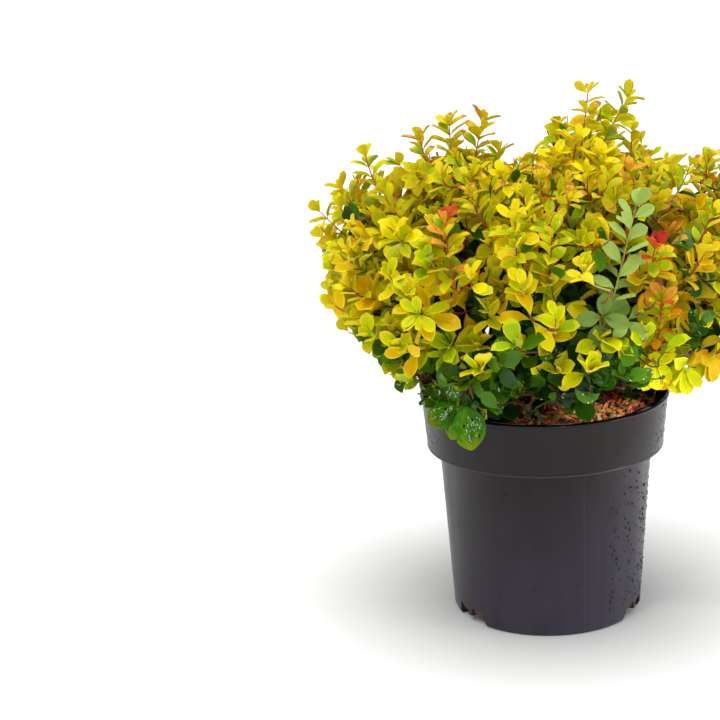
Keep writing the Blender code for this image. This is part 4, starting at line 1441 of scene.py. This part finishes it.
def leaving_room(leaves):
    """The leaves in the seen outline that leave room for the single shoots, the mulch and the dark gap."""
    roots, spans = roots_and_spans(leaves)
    middles = roots + spans * 0.5
    chances = np.random.default_rng(3).random(len(middles))
    in_gap = low_between(middles, FRONT_GAP, FRONT_GAP_Z) & (chances < FRONT_GAP_SHARE)
    kept = ~(over_mulch(middles) | in_gap)
    kept &= seen_inside(roots + spans, (1 + (0.35 - chances) * SEEN_RAGGEDNESS)[:, None])
    for via, tip, room, _ in FEATURES:
        if room:
            to_camera = unit(CAMERA_PLACE - tip)
            run = tip - via
            t = np.clip((middles - via) @ run / (run @ run), 0, 1)[:, None]
            away = middles - via - run * t
            ahead = away @ to_camera
            aside = np.linalg.norm(away - to_camera * ahead[:, None], axis=1)
            kept &= ~((aside < room) & (ahead > -ROOM_BEHIND) & (ahead < ROOM_AHEAD))
    return [leaf for leaf, keep in zip(leaves, kept) if keep]


def owner(point):
    """The mass in whose space a point lies."""
    return min(MASSES, key=lambda mass: np.linalg.norm(site_of(mass) - point))


def feature_path(via, tip, start):
    """A single shoot's path, from where it leaves the grown twigs through where it comes out to its tip."""
    last = bezier(via, lerp(via, tip, 0.5) + (via - start) * 0.12, tip, 4)
    first = bezier(start, via - (last[1] - via) * 1.2, via, SHOOT_STEPS - 4)
    return np.concatenate((first[:-1], last))


# Which masses share a joined piece of leaves and one of twigs
GROUPS = {
    "top": ("top_right", "top_left", "top_front", "top_back"),
    "upper_front": ("upper_right", "upper_front_right", "upper_front_left"),
    "upper_back": ("upper_left", "upper_back_left", "upper_back_right"),
    "lower_front": ("lower_right", "lower_front_right", "lower_front", "lower_front_left"),
    "lower_back": ("lower_left", "lower_back_left", "lower_back_right"),
}


def shoot_tint(tip, rng):
    """The slot of a shoot's skin: more are red where they are young, near the crown's outside."""
    return rng.choices((0, 1, 2), (2, 6, 2) if tip[2] > 0.3 else (6, 2, 2))[0]


# Large green leaves that hang over the rim at the front left: root, heading, length, width, bend
RIM_SHOOT_TIP = np.array((-0.060, -0.126, 0.238))
RIM_LEAVES = (
    ((-0.074, -0.127, 0.2325), (-0.90, -0.06, -0.42), 0.031, 0.86, 0.20),
    ((-0.066, -0.135, 0.2345), (0.12, -0.08, -0.99), 0.041, 0.74, 0.08),
    ((-0.068, -0.130, 0.2340), (-0.38, -0.02, -0.92), 0.035, 0.66, 0.10),
    ((-0.052, -0.124, 0.2370), (0.90, -0.10, -0.35), 0.029, 0.50, 0.30),
    ((-0.073, -0.126, 0.2360), (-0.30, -0.10, 0.90), 0.026, 0.66, 0.30),
)
# How many lines of drops run down each of these leaves, how wide these are, and how full
RIM_STREAKS = 4
RIM_STREAK_WIDTH = 0.07
RIM_WET_SHARE = 0.7
RIM_SPOTS = 3
RIM_LEAF_ROWS = 26
RIM_LEAF_COLUMNS = 18


def drawn(rng, *ranges):
    """A random value from each range."""
    return tuple(rng.uniform(low, high) for low, high in ranges)


def rim_leaf(whole, drops, rng, root, along, length, width, bend):
    """Adds a large leaf with a nibbled margin and dark spots, dead tissue and painted shade, to a mesh, and
    its lines of drops to a list.
    """
    forward = unit(np.array(along))
    face = np.array((forward[0] * 0.5 + rng.gauss(0, 0.1), -1.0, 0.6))
    face = unit(face - forward * (face @ forward))
    side = np.cross(forward, face)
    bites = [drawn(rng, (0.85, 1.0), (0.5, 0.75), (0.09, 0.13))]
    bites.append((rng.choice((-1, 1)) * rng.uniform(0.95, 1.1), *drawn(rng, (0.3, 0.9), (0.05, 0.07))))
    spots = [drawn(rng, (-0.7, 0.7), (0.3, 0.8), (0.03, 0.05)) for _ in range(RIM_SPOTS)]
    streaks = [drawn(rng, (-0.7, 0.5), (0.1, 0.35), (0.5, 0.85)) for _ in range(RIM_STREAKS)]
    bm = bmesh.new()
    bmesh.ops.create_grid(bm, x_segments=RIM_LEAF_COLUMNS, y_segments=RIM_LEAF_ROWS, size=1.0)
    layer = bm.loops.layers.uv.new("OFBake")
    flat = {v: (v.co.x, (v.co.y + 1) / 2) for v in bm.verts}
    bitten, streaked = [], []
    for f in bm.faces:
        across, share = (sum(flat[v][k] for v in f.verts) / len(f.verts) for k in (0, 1))
        in_bite, in_spot = (
            any(math.hypot((across - x) * 0.5, share - y) < r for x, y, r in rounds)
            for rounds in (bites, spots)
        )
        if in_bite and share < 0.97:
            bitten.append(f)
            continue
        f.material_index = in_spot
        swayed = across + 0.14 * math.sin(share * 11 + root[0] * 900)
        in_streak = any(
            abs(swayed - x) < RIM_STREAK_WIDTH and low < share < high for x, low, high in streaks
        )
        if in_streak and rng.random() < RIM_WET_SHARE:
            streaked.append(f)
    bmesh.ops.delete(bm, geom=bitten, context="FACES")
    for v in bm.verts:
        across, share = flat[v]
        half = math.sin(math.pi * share) ** 0.7 * width * length / 2
        cupped = -abs(across) ** 2.0 * half * 0.35 + abs(across) ** 1.1 * half * 0.25
        wave = math.sin(share * 12 + root[0] * 300) * 0.0006 * across * across
        rise = cupped - bend * length * share ** 2 + wave
        run = forward * length * share * (1 - 0.18 * bend * share)
        v.co = root + run + side * across * half + face * rise
    for f in bm.faces:
        for loop in f.loops:
            loop[layer].uv = (0.5 + flat[loop.vert][0] * 0.5, flat[loop.vert][1])
    bm.normal_update()
    for f in streaked:
        normal = np.array(f.normal)
        radius = DROP_RADIUS * rng.uniform(0.35, 0.75)
        drops.append((np.array(f.calc_center_median()), normal * np.sign(normal @ face), radius))
    bmesh.ops.remove_doubles(bm, verts=bm.verts, dist=1e-5)
    bmesh.ops.solidify(bm, geom=list(bm.faces), thickness=LEAF_THICKNESS)
    bmesh.ops.recalc_face_normals(bm, faces=bm.faces)
    mesh = mesh_from(bm, "rim_leaf")
    whole.from_mesh(mesh)
    bpy.data.meshes.remove(mesh)


def make_rim_leaves(drops):
    """The large leaves over the rim, as one piece."""
    rng = random.Random(21)
    whole = bmesh.new()
    for leaf in RIM_LEAVES:
        rim_leaf(whole, drops, rng, *leaf)
    # The dark spots are partly dead tissue and partly painted shade, dark patches in place of holes that
    # would show the shade behind
    materials = [
        rim_leaf_finish(),
        even_finish("dead_leaf", (26, 14, 6), 0.8, 0.6, 0.9, Specular_IOR_Level=0.05),
    ]
    finished(object_from(whole, "rim_leaves", materials), "golden_leaves", sharp=60)


def grow_mass(mass, limbs, rng, leaves, singles, twigs, shoots):
    """Adds a mass's ordinary leaves, those of its single shoots, its twigs and its shoots to four lists."""
    start, stem, main = main_twigs(mass, limbs)
    fine, grown = shoots_of(mass, limbs, start, stem, main)
    foot = stem[0] - unit(stem[1] - stem[0]) * 0.003
    line = bezier(stem[1], 2 * stem[2] - (stem[1] + stem[3]) / 2, stem[-1], TWIG_STEPS - 1)
    twigs.append((np.concatenate(([foot], line)), STEM_TWIG_RADIUS, TWIG_RADIUS))
    twigs += [(twig, TWIG_RADIUS, TWIG_TIP_RADIUS * 0.6) for twig in main if not over_mulch(twig[-1:])[0]]
    for path, leading in [(twig, False) for twig in main] + fine:
        set_leaves(path, habit_at(path[-1], leading, rng), rng, leaves)
    shoots += [(path, shoot_tint(path[-1], rng)) for path, _ in fine]
    if mass.name == "lower_front_left":
        root, heading, _ = grown.join(RIM_SHOOT_TIP)
        shoots.append((twig_path(root, heading, RIM_SHOOT_TIP, SHOOT_STEPS), 1))
    for via, tip, _, habit in FEATURES:
        if owner(tip) is mass:
            path = feature_path(via, tip, grown.join(via)[0])
            set_leaves(path, habit, rng, singles)
            shoots.append((path, 2 if "sage" in habit.youngest else 1))


def make_foliage(limbs):
    """The crown's leaves, twigs and shoots, joined by kind and by group of masses, and the leaves' rain."""
    pattern = leaf_pattern()
    leaf_materials = [leaf_finish(name, *values) for name, values in COLOURS.items()]
    skins = [
        shoot_finish("twig_brown", (104, 62, 46), 0.7),
        shoot_finish("shoot_red", (172, 72, 44), 0.5),
        shoot_finish("shoot_green", (176, 158, 56), 0.45),
    ]
    slots_of = {
        name: np.array([PALETTE.index(colour) for colour in tint.split()]) for name, tint in TINTS.items()
    }
    low, high = (np.array(corner) for corner in solid_box)
    drops = []
    for group, names in GROUPS.items():
        leaves, singles, twigs, shoots = [], [], [], []
        for mass in (m for m in MASSES if m.name in names):
            rng = random.Random(SEED * 31 + MASSES.index(mass))
            grow_mass(mass, limbs, rng, leaves, singles, twigs, shoots)
        leaves = leaving_room(fitting(leaves, LEAF_OVERSHOOT))
        if singles:
            leaves += fitting(singles, FEATURE_OVERSHOOT)
        points = leaf_points(pattern, leaves)
        boxed = ((points > low - BOX_OVERSHOOT) & (points < high + BOX_OVERSHOOT)).all((1, 2))
        points = points[boxed]
        slots = np.array([slots_of[leaf.tint] for leaf in leaves])[boxed][:, pattern.slots]
        drops += wetted(pattern, points, slots, rng)
        piece = repeated("leaves_" + group, pattern, points, leaf_materials, slots)
        finished(piece, "golden_leaves", *("foliage_" + name for name in names), sharp=75)
        paths, thick, thin = zip(*twigs)
        make_tubes("twigs_" + group, paths, np.linspace(thick, thin, TWIG_STEPS + 1, axis=1), skins[:1])
        paths, tints = zip(*shoots)
        radii = [np.linspace(SHOOT_RADIUS, SHOOT_TIP_RADIUS, SHOOT_STEPS + 1)] * len(paths)
        make_tubes("shoots_" + group, paths, np.array(radii), skins, np.array(tints)[:, None])
    make_rim_leaves(drops)
    make_leaf_drops(drops)


def wetted(pattern, points, slots, rng):
    """Places for rain drops on the upper skins of some leaves: (centre, outward normal, radius)."""
    faces = [pattern.loops[s:e] for s, e in zip(pattern.starts, [*pattern.starts[1:], len(pattern.loops)])]
    upper = [k for k, slot in enumerate(pattern.slots) if slot in (1, 2)]
    found = []
    for leaf, colours in zip(points, slots):
        green = PALETTE[colours[upper[0]]] in WET_COLOURS
        if rng.random() > (WET_SHARE_GREEN if green else WET_SHARE):
            continue
        for _ in range(rng.choice((1, 2, 4, 6) if green else (1, 1, 2))):
            corners = leaf[faces[rng.choice(upper)]]
            normal = unit(np.cross(corners[1] - corners[0], corners[-1] - corners[0]))
            weights = np.array([rng.random() for _ in corners])
            centre = weights @ corners / weights.sum()
            found.append((centre, normal, DROP_RADIUS * (0.35 + rng.random() ** 2)))
    return found


def make_leaf_drops(drops):
    """Rain drops on the leaves, as flat beads that lie on their upper skins, painted pale as glints."""
    bm = bmesh.new()
    bmesh.ops.create_uvsphere(bm, u_segments=6, v_segments=5, radius=1.0)
    pattern = Pattern(bm)
    points = []
    for centre, normal, radius in drops:
        turn = np.array(Vector(normal).to_track_quat("Z", "Y").to_matrix())
        points.append((pattern.points * (radius, radius, radius * 0.5)) @ turn.T + centre)
    # They are painted bright, a painted glint of the light that they gather
    water = even_finish("leaf_drops", (240, 246, 232), 0.05, 0.0, 0.08, IOR=1.33, Transmission_Weight=0.25)
    finished(repeated("leaf_drops", pattern, np.array(points), [water]), "golden_leaves")


def make_tubes(name, paths, radii, skins, slots=0):
    """Twigs or shoots as one piece of closed tubes with five sides."""
    sides = 5
    pattern = TubePattern(len(paths[0]), sides)
    finished(repeated(name, pattern, tubes(np.array(paths), radii, sides), skins, slots), "bark")


# Stage

def make_camera():
    yaw, pitch, roll = (math.radians(v) for v in (CAMERA_YAW, CAMERA_PITCH, CAMERA_ROLL))
    ahead = Vector((math.sin(yaw) * math.cos(pitch), math.cos(yaw) * math.cos(pitch), -math.sin(pitch)))
    level = Vector((math.cos(yaw), -math.sin(yaw), 0.0))
    above = level.cross(ahead)
    right = level * math.cos(roll) + above * math.sin(roll)
    up = above * math.cos(roll) - level * math.sin(roll)
    matrix = Matrix((right, up, -ahead)).transposed().to_4x4()
    matrix.translation = CAMERA_PLACE
    data = bpy.data.cameras.new("camera")
    data.lens = CAMERA_LENS
    data.sensor_width = 36.0
    camera = linked("camera", data)
    camera.matrix_world = matrix
    bpy.context.scene.camera = camera


def add_light(name, kind, power, place=(0, 0, 0), target=None, **settings):
    """A lamp of a kind and power, at its place and turned towards its target if it has one."""
    data = bpy.data.lights.new(name, kind)
    data.energy = power
    for setting, value in settings.items():
        setattr(data, setting, value)
    light = linked(name, data)
    light.location = place
    if target:
        light.rotation_euler = (Vector(target) - light.location).to_track_quat("-Z", "Y").to_euler()
    return light


def make_stage():
    """The white floor, a studio brightest at its horizon, a wide soft light above and three small ones."""
    bm = bmesh.new()
    bmesh.ops.create_circle(bm, cap_ends=True, segments=96, radius=60.0)
    f = Finish("white_floor", (252, 252, 252), 0.9, Specular_IOR_Level=0.0)
    floor = object_from(bm, "floor", [f.material])
    world = bpy.data.worlds.new("studio")
    world.use_nodes = True
    nodes, links = world.node_tree.nodes, world.node_tree.links
    nodes["Background"].inputs["Color"].default_value = (1, 1, 1, 1)
    parts = nodes.new("ShaderNodeSeparateXYZ")
    links.new(nodes.new("ShaderNodeTexCoord").outputs["Generated"], parts.inputs[0])
    fade = nodes.new("ShaderNodeMapRange")
    for name, value in (("From Min", 0.12), ("From Max", 0.3), ("To Min", 1.02), ("To Max", 0.40)):
        fade.inputs[name].default_value = value
    links.new(parts.outputs["Z"], fade.inputs["Value"])
    links.new(fade.outputs["Result"], nodes["Background"].inputs["Strength"])
    bpy.context.scene.world = world
    overhead = add_light("overhead_light", "SUN", 2.65, angle=math.radians(50))
    overhead.rotation_euler = (math.radians(5), 0, 0)
    middle = (0, 0, 0.25)
    add_light("small_box", "AREA", 5, (-0.7, -1.2, 1.9), middle, size=0.2)
    add_light("right_box", "AREA", 5.5, (1.5, -0.55, 0.40), middle, size=0.5)
    add_light(
        "mulch_light", "SPOT", 58, (0.45, -1.35, 0.72), (0.062, -0.035, 0.197),
        spot_size=math.radians(5.8), spot_blend=1.0, shadow_soft_size=0.03,
    )
    bpy.context.scene.view_settings.view_transform = "Standard"
    bpy.context.scene.view_settings.look = "None"


make_camera()
make_stage()
make_pot()
make_mulch()
make_chips()
make_drops()
make_wood()
make_foliage(Limbs([stem_path()] + [(bough_path(m), bough_radii(m, BOUGH_STEPS + 1)) for m in MASSES]))
